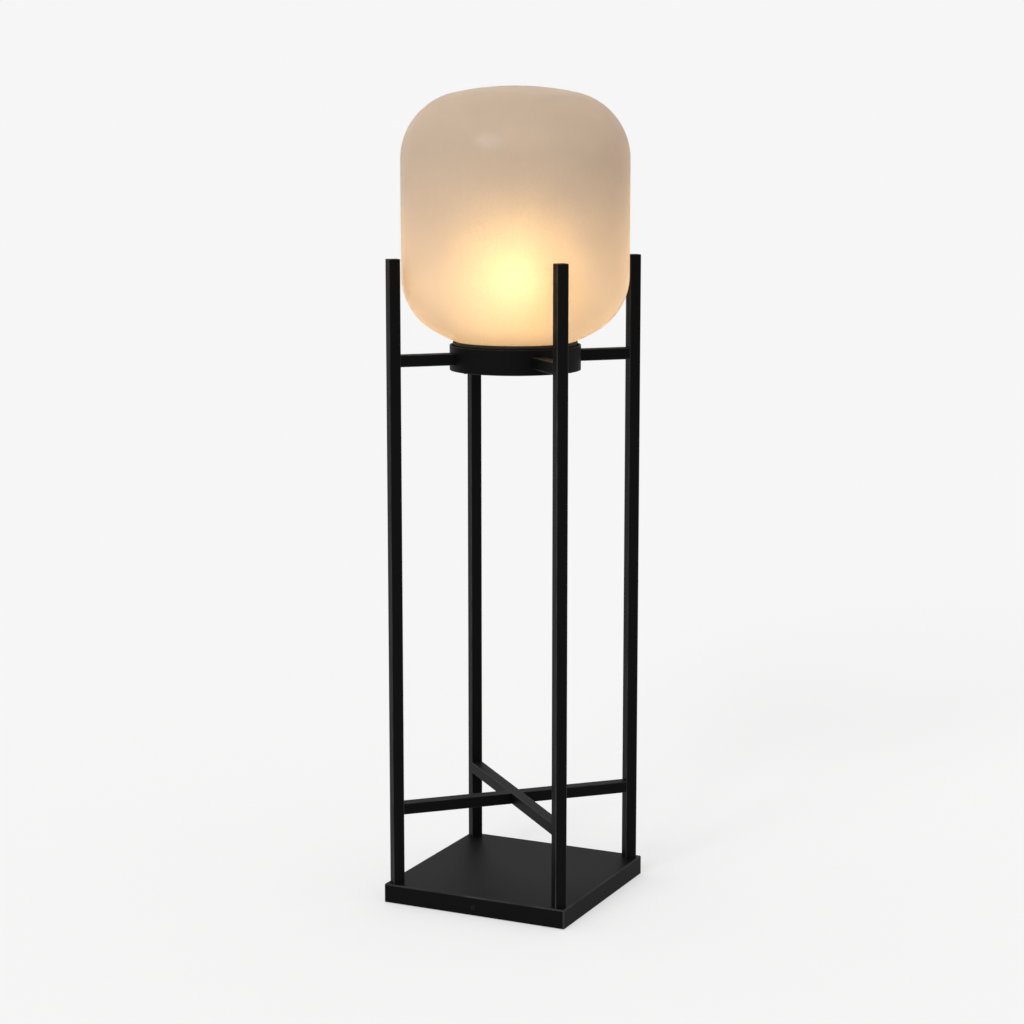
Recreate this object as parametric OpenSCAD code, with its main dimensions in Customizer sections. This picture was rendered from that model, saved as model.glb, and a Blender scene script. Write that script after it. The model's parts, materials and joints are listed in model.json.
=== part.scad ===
// Lantern floor lamp: a frosted glass drum shade stands in a ring between four tall square legs,
// which rise from a weighted square base and are tied by four short arms and a flat cross brace.
// Millimetres, +Z up. Origin: middle of the base, on the floor. The base's sides lie along X and Y,
// and the legs, arms and braces lie on its diagonals. Corner 0 is (+X,+Y), then counter-clockwise.

/* [Glass shade] */
// Outside diameter of the glass
shade_d = 346; // [320:1:380]
// Height of the glass outline, from the low point of its bottom bowl to its crown
shade_h = 400; // [360:1:450]
// Wall thickness of the glass
glass_t = 2.5; // [2:0.1:4]
// Radius of the shallow dome on top
crown_r = 430; // [360:1:500]
// Radius of the upper shoulder
shoulder_r = 102; // [80:1:115]
// Radius of the lower shoulder
hip_r = 96; // [85:1:110]
// Radius of the shallow bowl at the bottom
bowl_r = 244; // [235:1:300]
// Diameter of the mouth in the bottom of the glass
mouth_d = 150; // [120:1:164]

/* [Legs and braces] */
// Height of the leg tops above the floor
leg_top = 992; // [900:1:1040]
// Width of the square tube of the legs, arms and braces
tube_w = 18; // [16:0.5:21]
// Wall thickness of the square tube
tube_t = 1.2; // [1:0.1:1.5]
// Outer corner radius of the square tube
tube_r = 1.2; // [0.6:0.1:2]
// Gap between the glass and the inner face of a leg
shade_gap = 11.5; // [5:0.5:20]
// Diagonal distance from the outer face of a leg to the corner of the base
corner_gap = 12.5; // [10:0.1:16]
// Height of the middle line of the cross brace above the floor
brace_z = 149; // [110:1:400]
// Thickness of the flange of a leg cap
cap_t = 2; // [1.5:0.1:4]
// Length of the plug below the flange of a leg cap
cap_plug_h = 10; // [6:1:20]

/* [Ring and tray] */
// Height of the middle line of the arms and the ring above the floor
arm_z = 840; // [780:1:860]
// Outside diameter of the ring
ring_d = 200; // [188:1:220]
// Wall thickness of the ring
ring_t = 3; // [2:0.5:4]
// Height of the ring
ring_h = 38; // [36:1:50]
// Gap between the ring and the wall of the tray
tray_gap = 3; // [2:0.5:5]
// Sheet thickness of the tray
tray_t = 1.5; // [1:0.1:2]
// How far the rim of the tray stands above the ring
tray_proud = 4; // [2:0.5:8]
// Depth of the tray, from its rim to its floor
tray_depth = 12; // [10:0.5:14]
// Width of the flange that carries the tray
ledge_w = 13; // [12:0.5:16]
// Thickness of the same flange
ledge_t = 3; // [2:0.5:4]
// Thickness of the plate that closes the ring from below
under_t = 1.5; // [1:0.1:2.5]
// Thickness of the seal on the rim of the tray, on each side of the sheet
seal_t = 1; // [0.8:0.1:1.4]
// How far the seal reaches down the rim of the tray
seal_skirt = 3; // [2:0.5:5]

/* [Base] */
// Height of the base cover
cover_h = 29; // [28:0.5:40]
// Sheet thickness of the base cover
cover_t = 1.5; // [1:0.1:2]
// Outer fold radius along the top edges of the base cover
fold_r = 2; // [1:0.1:3]
// Thickness of the steel ballast plate
ballast_t = 10; // [8:0.5:12]
// Gap between the edge of the ballast plate and the inside of the cover
ballast_gap = 3.5; // [3.2:0.1:5]
// Sheet thickness of the bottom plate
plate_t = 1.5; // [1:0.1:2]
// Height of the brackets that take the side screws, above the bottom plate
bracket_h = 15; // [14.5:0.1:16]
// Width of the same brackets
bracket_w = 36; // [20:1:60]
// How far the rubber feet stand below the base
foot_proud = 1.5; // [1:0.1:4]
// Diameter of the rubber feet
foot_d = 22; // [16:1:30]
// Distance of the feet from the middle of the base, along X and along Y
foot_pos = 112; // [90:1:118]
// Diameter of the side screws
side_screw_d = 6; // [5:0.1:7]
// Length of the side screws
side_screw_l = 8; // [7.5:0.1:12]
// Height of the side screws above the lower edge of the cover
side_screw_z = 12.5; // [11:0.1:13]

/* [Mains inlet] */
// Diameter of the lead that the grommet takes
inlet_d = 7.2; // [6:0.1:8]
// Distance of the grommet from the middle of the rear side
inlet_x = 80; // [40:1:95]
// Diameter of the grommet's neck, in the hole of the cover
grommet_d = 11; // [10.5:0.1:12]
// Flange diameter of the grommet
grommet_flange_d = 14; // [13.5:0.1:15]
// Flange thickness of the grommet
grommet_flange_t = 1.2; // [1:0.1:2]

/* [Wiring] */
// Diameter of an inner lead
wire_d = 2.4; // [1.8:0.1:2.8]
// Distance between the middles of the two lamp leads
wire_pitch = 2.8; // [2.8:0.1:3]
// Bend radius of the inner leads
bend_r = 8; // [6.5:0.1:8.5]
// Length of the terminal block, along the leads
block_l = 18; // [16:1:22]
// Width of the terminal block, across its poles
block_w = 27; // [24:1:33]
// Height of the terminal block
block_h = 12; // [10:0.5:13]
// Distance of the terminal block from the middle of the base
block_pos = 60; // [50:1:90]
// Distance between the poles of the terminal block
pole_pitch = 8; // [7:0.5:9]

/* [Lampholder] */
// Outside diameter of the lampholder
holder_d = 42; // [40:1:48]
// Height of the lampholder
holder_h = 60; // [59:1:70]
// Height of the lower cup of the lampholder
cup_h = 20; // [20:0.5:24]
// Outside diameter of the hollow threaded rods
rod_d = 10; // [9.5:0.1:11]
// Bore of the hollow threaded rods
rod_bore = 7.2; // [7:0.1:7.6]
// Width across the flats of the nuts on the hollow rods
rod_nut_af = 14; // [13.5:0.5:15]
// Thickness of the nuts on the hollow rods
rod_nut_t = 3; // [2.5:0.1:3.5]
// Diameter of the washers on the hollow rods
washer_d = 18; // [16:0.5:18.5]
// Thickness of the washers on the hollow rods
washer_t = 1.5; // [1:0.1:2]

/* [Bulb] */
// Diameter of the globe
bulb_d = 60; // [45:1:80]
// Length of the bulb
bulb_l = 105; // [100:1:120]
// Thread diameter of the screw cap
cap_d = 26.2; // [25.8:0.1:26.5]
// Height of the screw cap above the tip contact
bulb_cap_h = 26; // [24:0.5:28]
// Wall thickness of the bulb's glass
bulb_t = 1; // [0.8:0.1:1.5]
// Number of light filaments
filaments = 4; // [2:1:6]

/* [Hidden] */
$fn = 72;

// Clearances: tiny shares a cut's overshoot, seat parts two bodies, fit parts pieces that are assembled
tiny = 0.01;
seat = 0.3;
fit = 0.3;
thread_gap = 0.05;
over = 1;

// Corners and sides
right = 0;
back = 1;
left = 2;
front = 3;
diag = [45, 135, 225, 315];

// Plan
shade_r = shade_d / 2;
leg_face = shade_r + shade_gap;
leg_pos = leg_face + tube_w / 2;
base_w = (leg_face + tube_w + corner_gap) * sqrt(2);
tube_in = tube_w - 2 * tube_t;

// Base heights
cover_z = foot_proud;
base_top = cover_z + cover_h;
ballast_top = base_top - cover_t;
ballast_z = ballast_top - ballast_t;
floor_top = cover_z + plate_t;
inner_w = base_w - 2 * cover_t;
ballast_w = inner_w - 2 * ballast_gap;
plate_w = inner_w - 2 * fit;
screw_z = cover_z + side_screw_z;
bracket_foot = 12;
wire_lift = 4.5;
wire_z = floor_top + wire_lift;

// Hollow rods that hold the legs down: each ends a little past its nut and inside the plug of its leg
rod_end = 1;
rod_in_plug = 16;
plug_h = 22;
rod_z = ballast_z - washer_t - rod_nut_t - rod_end;
rod_top = base_top + rod_in_plug;

// Ring, tray and seal
ring_r = ring_d / 2;
ring_in = ring_r - ring_t;
ring_z = arm_z - ring_h / 2;
ring_top = ring_z + ring_h;
tray_r = ring_in - tray_gap;
rim_z = ring_top + tray_proud;
tray_floor = rim_z - tray_depth;
tray_under = tray_floor - tray_t;
ledge_in = ring_in - ledge_w;
rim_r = tray_r - tray_t / 2;
bead_r = tray_t / 2 + seal_t;
tray_screw_r = (ledge_in + tray_r - tray_t) / 2;
lug_in = 6;
lug_h = 10;
lug_w = 10;
lug_bite = 0.5;
under_screw_r = ring_in - lug_in;

// Inner leads: they run below the middle line of the arms, so that they turn up into the holder
wire_r = wire_d / 2;
wire_drop = 3;
arm_wire_z = arm_z - wire_drop;
wire_hole_r = 4;

// Wiring round the terminal block
lead_in = 4;
lead_out = 2;
lead_end = 6;
stud_gap = 14;
stud_r = 2;
lug_t = 0.8;
lug_z = wire_z - lug_t / 2;

// Glass outline. Its bowl rests on the round bead of the rim seal, one seat gap away
bowl_z = rim_z + sqrt(pow(bowl_r + bead_r + seat, 2) - rim_r * rim_r);
bowl_low = bowl_z - bowl_r;
crown_top = bowl_low + shade_h;
crown_z = crown_top - crown_r;
shoulder_x = shade_r - shoulder_r;
shoulder_z = crown_z + sqrt(pow(crown_r - shoulder_r, 2) - shoulder_x * shoulder_x);
hip_x = shade_r - hip_r;
hip_z = bowl_z - sqrt(pow(bowl_r - hip_r, 2) - hip_x * hip_x);
mouth_r = mouth_d / 2;

// Lampholder and bulb, from the floor of the tray up
holder_r = holder_d / 2;
holder_t = 1.8;
cup_z = tray_floor;
core_r = holder_r - holder_t - 0.3;
core_rise = 15;
core_z = cup_z + core_rise;
core_h = 19;
core_top = core_z + core_h;
contact_h = 2;
tongue_l = 13;
tongue_w = 6;
tongue_t = 0.6;
contact_top = core_top + contact_h;
bulb_z = contact_top + seat;
shell_r = cap_d / 2 + fit;
shell_t = 0.5;
holder_rod_low = tray_under - washer_t - rod_nut_t - rod_end;
rod_in_cup = 12;
globe_r = bulb_d / 2;
globe_z = bulb_z + bulb_l - globe_r;
neck_r = cap_d / 2 + 0.4;
cap_lap = 2;
neck_z = bulb_z + bulb_cap_h - cap_lap;
insulator_h = 2.6;
tip_h = 1.2;
cap_low = insulator_h + tip_h;
cap_web = 1.2;
filament_l = 34;
filament_r = 1;
filament_pos = 7;
stem_neck = 12;

// ---------- shared shapes ----------

// A square with rounded corners
module round_square(w, r) {
    union() {
        square([w, w - 2 * r], center = true);
        square([w - 2 * r, w], center = true);
        for (x = [-1, 1], y = [-1, 1])
            translate([x * (w / 2 - r), y * (w / 2 - r)]) circle(r = r, $fn = 24);
    }
}

// Square tube standing on the XY plane
module square_tube(h) {
    linear_extrude(height = h) difference() {
        round_square(tube_w, tube_r);
        square(tube_in, center = true);
    }
}

// Places a child on the diagonal of one corner; its X then points outwards
module at_corner(c, r) {
    rotate([0, 0, diag[c]]) translate([r, 0, 0]) children();
}

// Square tube that lies along X, from x0 to x1, with its middle line at height z
module lying_tube(x0, x1, z) {
    translate([x0, 0, z]) rotate([0, 90, 0]) square_tube(x1 - x0);
}

// Round washer or plain ring
module ring_disc(r_out, r_in, h) {
    difference() {
        cylinder(r = r_out, h = h);
        translate([0, 0, -over]) cylinder(r = r_in, h = h + 2 * over);
    }
}

// Hexagon nut
module hex_nut(af, bore_r, h) {
    difference() {
        cylinder(d = af / cos(30), h = h, $fn = 6);
        translate([0, 0, -over]) cylinder(r = bore_r, h = h + 2 * over);
    }
}

// Hollow threaded rod
module hollow_rod(h) {
    ring_disc(rod_d / 2, rod_bore / 2, h);
}

// Quarter bend of a lead in the XZ plane: it starts at the origin along +X and ends upwards
module wire_bend() {
    translate([0, 0, bend_r]) rotate([90, 0, 0]) rotate([0, 0, -90])
        rotate_extrude(angle = 90) translate([bend_r, 0]) circle(r = wire_r, $fn = 32);
}

// Round pan-head screw, head up at z = 0, shank downwards
module pan_screw(d, l, head_d, head_h) {
    difference() {
        union() {
            cylinder(d = head_d, h = head_h);
            translate([0, 0, -l]) cylinder(d = d, h = l + tiny);
        }
        translate([0, 0, head_h / 2 + over]) cube([head_d + over, 0.8, 2 * over], center = true);
    }
}

// ---------- base ----------

// One profile of the folded cover, in the XZ plane
module cover_profile() {
    w = base_w;
    union() {
        translate([-w / 2, 0]) square([w, cover_h - fold_r]);
        translate([-w / 2 + fold_r, 0]) square([w - 2 * fold_r, cover_h]);
        for (s = [-1, 1])
            translate([s * (w / 2 - fold_r), cover_h - fold_r]) circle(r = fold_r, $fn = 32);
    }
}

module cover_bar() {
    rotate([90, 0, 0]) linear_extrude(height = base_w, center = true) cover_profile();
}

// Folded sheet cover, open below, with holes for the legs, the side screws and the grommet
module base_cover() {
    color("#1d1d1f") difference() {
        translate([0, 0, cover_z]) intersection() {
            cover_bar();
            rotate([0, 0, 90]) cover_bar();
        }
        translate([-inner_w / 2, -inner_w / 2, cover_z - over])
            cube([inner_w, inner_w, cover_h - cover_t + over]);
        for (c = [0:3])
            at_corner(c, leg_pos) translate([0, 0, ballast_z])
                cylinder(r = rod_d / 2 + fit, h = ballast_t + cover_t + over);
        for (a = [0:90:270])
            rotate([0, 0, a]) translate([inner_w / 2 - over, 0, screw_z]) rotate([0, 90, 0])
                cylinder(r = side_screw_d / 2 + fit, h = cover_t + 2 * over);
        translate([-inlet_x, inner_w / 2 - over, screw_z]) rotate([-90, 0, 0])
            cylinder(r = grommet_d / 2, h = cover_t + 2 * over);
    }
}

// Flat bottom plate with holes for the feet
module bottom_plate() {
    color("#4a4b4e") translate([0, 0, cover_z]) difference() {
        translate([-plate_w / 2, -plate_w / 2, 0]) cube([plate_w, plate_w, plate_t]);
        for (x = [-1, 1], y = [-1, 1])
            translate([x * foot_pos, y * foot_pos, -over]) cylinder(r = foot_d / 5, h = plate_t + 2 * over);
    }
}

// Four angle brackets, spot-welded to the bottom plate, with weld nuts for the side screws
module plate_brackets() {
    weld_nut_t = 4;
    face = plate_w / 2 - plate_t;
    color("#4a4b4e") for (a = [0:90:270])
        rotate([0, 0, a]) difference() {
            union() {
                translate([face, -bracket_w / 2, floor_top]) cube([plate_t, bracket_w, bracket_h]);
                translate([face + plate_t - bracket_foot, -bracket_w / 2, floor_top])
                    cube([bracket_foot, bracket_w, plate_t]);
                translate([face - weld_nut_t, 0, screw_z]) rotate([0, 90, 0]) rotate([0, 0, 30])
                    cylinder(d = side_screw_d + 4, h = weld_nut_t + tiny, $fn = 6);
            }
            translate([face - weld_nut_t - over, 0, screw_z]) rotate([0, 90, 0])
                cylinder(r = side_screw_d / 2 + thread_gap, h = weld_nut_t + plate_t + 2 * over);
        }
}

// Steel plate that weighs the base down; the leg rods pass through it
module ballast_plate() {
    color("#5b5d60") translate([0, 0, ballast_z]) difference() {
        translate([-ballast_w / 2, -ballast_w / 2, 0]) cube([ballast_w, ballast_w, ballast_t]);
        for (c = [0:3])
            at_corner(c, leg_pos) translate([0, 0, -over])
                cylinder(r = rod_d / 2 + fit, h = ballast_t + 2 * over);
    }
}

// Push-in rubber foot: pad below the plate, neck through it, barb above
module foot(x, y) {
    neck = foot_d / 5;
    color("#202020") translate([x * foot_pos, y * foot_pos, 0]) rotate_extrude() polygon([
        [0, 0], [foot_d / 2 - 0.5, 0], [foot_d / 2, 0.5], [foot_d / 2, foot_proud],
        [neck, foot_proud], [neck, floor_top], [neck + 1.2, floor_top],
        [neck - 0.8, floor_top + 2.5], [0, floor_top + 2.5]
    ]);
}

// Socket set screws that hold the cover to the brackets, sunk a little below its face
module side_screws() {
    sink = 0.6;
    color("#3b3c3e") for (a = [0:90:270])
        rotate([0, 0, a]) translate([base_w / 2 - sink, 0, screw_z]) rotate([0, -90, 0]) difference() {
            cylinder(d = side_screw_d, h = side_screw_l);
            translate([0, 0, -over]) cylinder(d = side_screw_d / 2, h = over + 3, $fn = 6);
        }
}

// Rubber grommet of the mains lead, in the rear side of the cover
module cord_grommet() {
    t = grommet_flange_t;
    color("#1b1b1b") translate([-inlet_x, inner_w / 2, screw_z]) rotate([-90, 0, 0]) difference() {
        union() {
            cylinder(d = grommet_d, h = cover_t);
            translate([0, 0, -t]) cylinder(d = grommet_flange_d, h = t);
            translate([0, 0, cover_t]) cylinder(d = grommet_flange_d, h = t);
        }
        translate([0, 0, -t - over]) cylinder(d = inlet_d, h = cover_t + 2 * t + 2 * over);
    }
}

// ---------- wiring in the base ----------

// Three-pole terminal block on the way to the back leg
module terminal_block() {
    color("#e8e6df") at_corner(back, block_pos) difference() {
        translate([-block_l / 2, -block_w / 2, floor_top]) cube([block_l, block_w, block_h]);
        for (i = [-1:1])
            translate([0, i * pole_pitch, 0]) {
                translate([-block_l / 2 - over, 0, wire_z]) rotate([0, 90, 0])
                    cylinder(r = wire_r + 0.2, h = block_l + 2 * over);
                for (s = [-1, 1])
                    translate([s * block_l / 4, 0, wire_z]) cylinder(d = 3.4, h = block_h, $fn = 32);
            }
    }
}

// Two clamp screws on each pole of the terminal block
module terminal_screws() {
    screw_h = floor_top + block_h - wire_z - wire_r - 0.7;
    color("#c9a24a") at_corner(back, block_pos) for (i = [-1:1], s = [-1, 1])
        translate([s * block_l / 4, i * pole_pitch, wire_z + wire_r + 0.2]) difference() {
            cylinder(d = 3.2, h = screw_h, $fn = 32);
            translate([0, 0, screw_h + 0.2]) cube([5, 0.6, 2], center = true);
        }
}

// Threaded earth stud with its nuts, welded to the bottom plate beyond the terminal block
module earth_stud() {
    stud_h = 10;
    nut_d = 8;
    nut_h = 3;
    color("#b9bbbe") at_corner(back, block_pos + block_l / 2 + stud_gap) {
        translate([0, 0, floor_top]) cylinder(r = stud_r, h = stud_h, $fn = 32);
        translate([0, 0, floor_top]) cylinder(d = nut_d, h = lug_z - floor_top, $fn = 6);
        translate([0, 0, lug_z + lug_t]) cylinder(d = nut_d, h = nut_h, $fn = 6);
    }
}

// Lead to the earth stud, with its ring lug
module lead_earth() {
    start = block_pos + block_l / 4 - lead_in;
    end = block_pos + block_l / 2 + stud_gap;
    lug_r = 4.2;
    tail = 6;
    color("#5d9b3a") rotate([0, 0, diag[back]]) difference() {
        union() {
            translate([start, 0, wire_z]) rotate([0, 90, 0])
                cylinder(r = wire_r, h = end - start - lug_r + 0.2, $fn = 32);
            translate([end, 0, lug_z]) cylinder(r = lug_r, h = lug_t);
            translate([end - tail, -1.6, lug_z]) cube([tail / 2, 3.2, lug_t]);
        }
        translate([end, 0, wire_z - over]) cylinder(r = stud_r + thread_gap, h = 2 * over, $fn = 32);
    }
}

// One lamp lead: terminal block, hollow rod of the back leg, leg, arm, ring and holder.
// side is 1 for the live lead and -1 for the neutral one
module lamp_lead(side) {
    y0 = side * pole_pitch;
    y1 = side * wire_pitch / 2;
    x0 = block_pos + block_l / 4 - lead_in;
    x1 = block_pos + block_l / 2 + lead_out;
    slope = atan2(y1 - y0, leg_pos - x1);
    run = norm([leg_pos - x1, y1 - y0]) - bend_r;
    knuckle_r = wire_r + 0.05;
    rotate([0, 0, diag[back]]) {
        translate([x0, y0, wire_z]) rotate([0, 90, 0]) cylinder(r = wire_r, h = x1 - x0, $fn = 32);
        translate([x1, y0, wire_z]) sphere(r = knuckle_r, $fn = 32);
        translate([x1, y0, wire_z]) rotate([0, 0, slope]) {
            rotate([0, 90, 0]) cylinder(r = wire_r, h = run, $fn = 32);
            translate([run, 0, 0]) wire_bend();
        }
        translate([leg_pos, y1, wire_z + bend_r]) {
            sphere(r = knuckle_r, $fn = 32);
            cylinder(r = wire_r, h = arm_wire_z - wire_z - 2 * bend_r, $fn = 32);
        }
        translate([leg_pos - bend_r, y1, arm_wire_z]) mirror([0, 0, 1]) wire_bend();
        translate([bend_r, y1, arm_wire_z]) rotate([0, 90, 0])
            cylinder(r = wire_r, h = leg_pos - 2 * bend_r, $fn = 32);
        translate([bend_r, y1, arm_wire_z]) mirror([1, 0, 0]) wire_bend();
        translate([0, y1, arm_wire_z + bend_r])
            cylinder(r = wire_r, h = core_z + lead_end - arm_wire_z - bend_r, $fn = 32);
    }
}

module lead_live() {
    color("#6b3f24") lamp_lead(1);
}

module lead_neutral() {
    color("#2f5f9e") lamp_lead(-1);
}

// ---------- legs, braces and arms ----------

// Square tube leg; the back one has a hole for the leads
module leg(c) {
    color("#1d1d1f") at_corner(c, leg_pos) difference() {
        translate([0, 0, base_top]) square_tube(leg_top - cap_t - base_top);
        if (c == back)
            translate([-tube_w / 2 - over, 0, arm_wire_z]) rotate([0, 90, 0])
                cylinder(r = wire_hole_r, h = tube_t + 2 * over);
    }
}

// Flat cap with a plug that closes the top of a leg
module leg_cap(c) {
    edge = 0.6;
    plug_w = tube_in - 2 * 0.15;
    color("#1d1d1f") at_corner(c, leg_pos) union() {
        translate([0, 0, leg_top - cap_t]) linear_extrude(height = cap_t - edge)
            round_square(tube_w, tube_r);
        translate([0, 0, leg_top - edge]) linear_extrude(height = edge)
            round_square(tube_w - edge, tube_r);
        translate([0, 0, leg_top - cap_t - cap_plug_h]) linear_extrude(height = cap_plug_h + tiny)
            round_square(plug_w, tube_r);
    }
}

// Threaded plug welded into the foot of a leg
module leg_plug(c) {
    color("#8a8c90") at_corner(c, leg_pos) difference() {
        translate([0, 0, base_top]) linear_extrude(height = plug_h)
            round_square(tube_in - 2 * 0.15, tube_r);
        translate([0, 0, base_top - over]) cylinder(r = rod_d / 2 + thread_gap, h = plug_h + 2 * over);
    }
}

module leg_rods() {
    color("#b9bbbe") for (c = [0:3])
        at_corner(c, leg_pos) translate([0, 0, rod_z]) hollow_rod(rod_top - rod_z);
}

module leg_nuts() {
    color("#b9bbbe") for (c = [0:3])
        at_corner(c, leg_pos) translate([0, 0, ballast_z - washer_t - rod_nut_t])
            hex_nut(rod_nut_af, rod_d / 2 + thread_gap, rod_nut_t);
}

module leg_washers() {
    color("#b9bbbe") for (c = [0:3])
        at_corner(c, leg_pos) translate([0, 0, ballast_z - washer_t])
            ring_disc(washer_d / 2, rod_d / 2 + fit, washer_t);
}

// Cross brace: one bar runs from the back leg to the front one, two half bars butt against it
module brace_long() {
    color("#1d1d1f") rotate([0, 0, diag[front]]) lying_tube(-leg_face, leg_face, brace_z);
}

module brace_half(c) {
    color("#1d1d1f") rotate([0, 0, diag[c]]) lying_tube(tube_w / 2, leg_face, brace_z);
}

// Short arm from the ring to a leg, with its inner end cut to the curve of the ring
module arm(c) {
    color("#1d1d1f") difference() {
        rotate([0, 0, diag[c]]) lying_tube(ring_r - tube_w / 2, leg_face, arm_z);
        translate([0, 0, ring_z - over]) cylinder(r = ring_r, h = ring_h + 2 * over, $fn = 144);
    }
}

// ---------- ring and tray ----------

// Flat band with the flange that carries the tray and three lugs for the plate below
module support_ring() {
    color("#1d1d1f") difference() {
        union() {
            translate([0, 0, ring_z]) rotate_extrude($fn = 144) {
                translate([ring_in, 0]) square([ring_t, ring_h]);
                translate([ledge_in, tray_under - ledge_t - ring_z]) square([ledge_w + tiny, ledge_t]);
            }
            for (a = [0, 120, 240])
                rotate([0, 0, a]) translate([under_screw_r - lug_w / 2, -lug_w / 2, ring_z + under_t])
                    cube([ring_in - under_screw_r + lug_w / 2 + lug_bite, lug_w, lug_h]);
        }
        for (a = [0, 120, 240]) {
            rotate([0, 0, a]) translate([under_screw_r, 0, ring_z])
                cylinder(r = 2 + thread_gap, h = under_t + lug_h + over, $fn = 32);
            rotate([0, 0, a + 60]) translate([tray_screw_r, 0, tray_under - ledge_t - over])
                cylinder(r = 2 + thread_gap, h = ledge_t + 2 * over, $fn = 32);
        }
        rotate([0, 0, diag[back]]) translate([ring_in - over, 0, arm_wire_z]) rotate([0, 90, 0])
            cylinder(r = wire_hole_r, h = ring_t + 2 * over);
    }
}

// Plate that closes the ring from below
module ring_under_plate() {
    color("#1d1d1f") translate([0, 0, ring_z]) difference() {
        cylinder(r = ring_in - fit, h = under_t, $fn = 144);
        for (a = [0, 120, 240])
            rotate([0, 0, a]) translate([under_screw_r, 0, -over])
                cylinder(r = 2 + fit, h = under_t + 2 * over, $fn = 32);
    }
}

module under_plate_screws() {
    color("#2b2b2d") for (a = [0, 120, 240])
        rotate([0, 0, a]) translate([under_screw_r, 0, ring_z]) mirror([0, 0, 1])
            pan_screw(4, 8, 7.5, 2);
}

// Shallow spun tray that carries the glass and the lampholder
module shade_tray() {
    color("#1d1d1f") difference() {
        translate([0, 0, tray_under]) rotate_extrude($fn = 144) {
            square([tray_r, tray_t]);
            translate([tray_r - tray_t, 0]) square([tray_t, tray_depth + tray_t]);
        }
        translate([0, 0, tray_under - over]) cylinder(r = rod_d / 2 + 0.1, h = tray_t + 2 * over);
        for (a = [60, 180, 300])
            rotate([0, 0, a]) translate([tray_screw_r, 0, tray_under - over])
                cylinder(r = 2 + fit, h = tray_t + 2 * over, $fn = 32);
    }
}

module tray_screws() {
    color("#2b2b2d") for (a = [60, 180, 300])
        rotate([0, 0, a]) translate([tray_screw_r, 0, tray_floor]) pan_screw(4, 4, 6, 1.6);
}

// Rubber seal pushed over the rim of the tray: two skirts and a round bead for the glass
module rim_seal() {
    color("#151515") translate([0, 0, rim_z]) rotate_extrude($fn = 144) translate([rim_r, 0]) difference() {
        union() {
            circle(r = bead_r, $fn = 32);
            translate([-bead_r, -seal_skirt]) square([2 * bead_r, seal_skirt]);
        }
        translate([-tray_t / 2, -seal_skirt - over]) square([tray_t, seal_skirt + over]);
    }
}

// ---------- lampholder ----------

module holder_rod() {
    color("#b9bbbe") translate([0, 0, holder_rod_low]) hollow_rod(cup_z + rod_in_cup - holder_rod_low);
}

module holder_nut() {
    color("#b9bbbe") translate([0, 0, tray_under - washer_t - rod_nut_t])
        hex_nut(rod_nut_af, rod_d / 2 + thread_gap, rod_nut_t);
}

module holder_washer() {
    color("#b9bbbe") translate([0, 0, tray_under - washer_t])
        ring_disc(washer_d / 2, rod_d / 2 + 0.1, washer_t);
}

// Lower cup, with a step inside that the ceramic core stands on
module holder_cup() {
    r = holder_r;
    t = holder_t;
    step_z = core_z - cup_z;
    color("#232325") translate([0, 0, cup_z]) rotate_extrude() polygon([
        [rod_d / 2 + thread_gap, 0], [r - 8, 0], [r, 8], [r, cup_h], [r - t, cup_h],
        [r - t, step_z], [r - t - 3, step_z], [r - t - 3, 9], [r - t - 8, 4], [rod_d / 2 + thread_gap, 4]
    ]);
}

// Sleeve on top of the cup, turned in at its rim
module holder_shell() {
    r = holder_r;
    t = holder_t;
    mouth = shell_r + shell_t + fit;
    color("#232325") translate([0, 0, cup_z]) rotate_extrude() polygon([
        [r - t, cup_h], [r, cup_h], [r, holder_h - 1.5], [r - 1.5, holder_h], [mouth, holder_h],
        [mouth, holder_h - t], [r - t, holder_h - t]
    ]);
}

// Ceramic core with a hole for the leads
module holder_core() {
    color("#efece4") difference() {
        translate([0, 0, core_z]) cylinder(r = core_r, h = core_h);
        translate([0, 0, core_z - over]) cylinder(d = rod_bore, h = lead_end + 1 + over);
    }
}

// Brass sleeve that takes the screw cap, with a flange on the core
module holder_screw_shell() {
    flange_t = 0.6;
    color("#c9a24a") translate([0, 0, core_top]) rotate_extrude() {
        translate([8, 0]) square([shell_r + shell_t - 8, flange_t]);
        translate([shell_r, 0]) square([shell_t, cup_z + holder_h - 2 - core_top]);
    }
}

// Spring tongue that touches the tip of the bulb
module holder_contact() {
    color("#c9a24a") translate([0, 0, core_top]) union() {
        translate([-tongue_l / 2, -tongue_w / 2, 0]) cube([tongue_l, tongue_w, tongue_t]);
        cylinder(r = 2.5, h = contact_top - core_top, $fn = 32);
    }
}

// ---------- bulb ----------

// Half outline of the globe and its neck, at a distance t inside the glass
module globe_half(t) {
    r = globe_r - t;
    n = neck_r - t;
    intersection() {
        translate([0, neck_z]) square([2 * globe_r, bulb_l]);
        union() {
            translate([0, globe_z]) circle(r = r, $fn = 96);
            polygon([[0, neck_z], [n, neck_z], globe_touch(r, n), [0, globe_z]]);
        }
    }
}

// Point where the neck's cone touches the globe
function globe_touch(r, n) =
    let (d = globe_z - neck_z, reach = norm([n, d]), a = atan2(-d, n) + acos(r / reach))
    [r * cos(a), globe_z + r * sin(a)];

module bulb_globe() {
    color("#f6efe2") rotate_extrude($fn = 96) difference() {
        globe_half(0);
        globe_half(bulb_t);
    }
}

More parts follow.
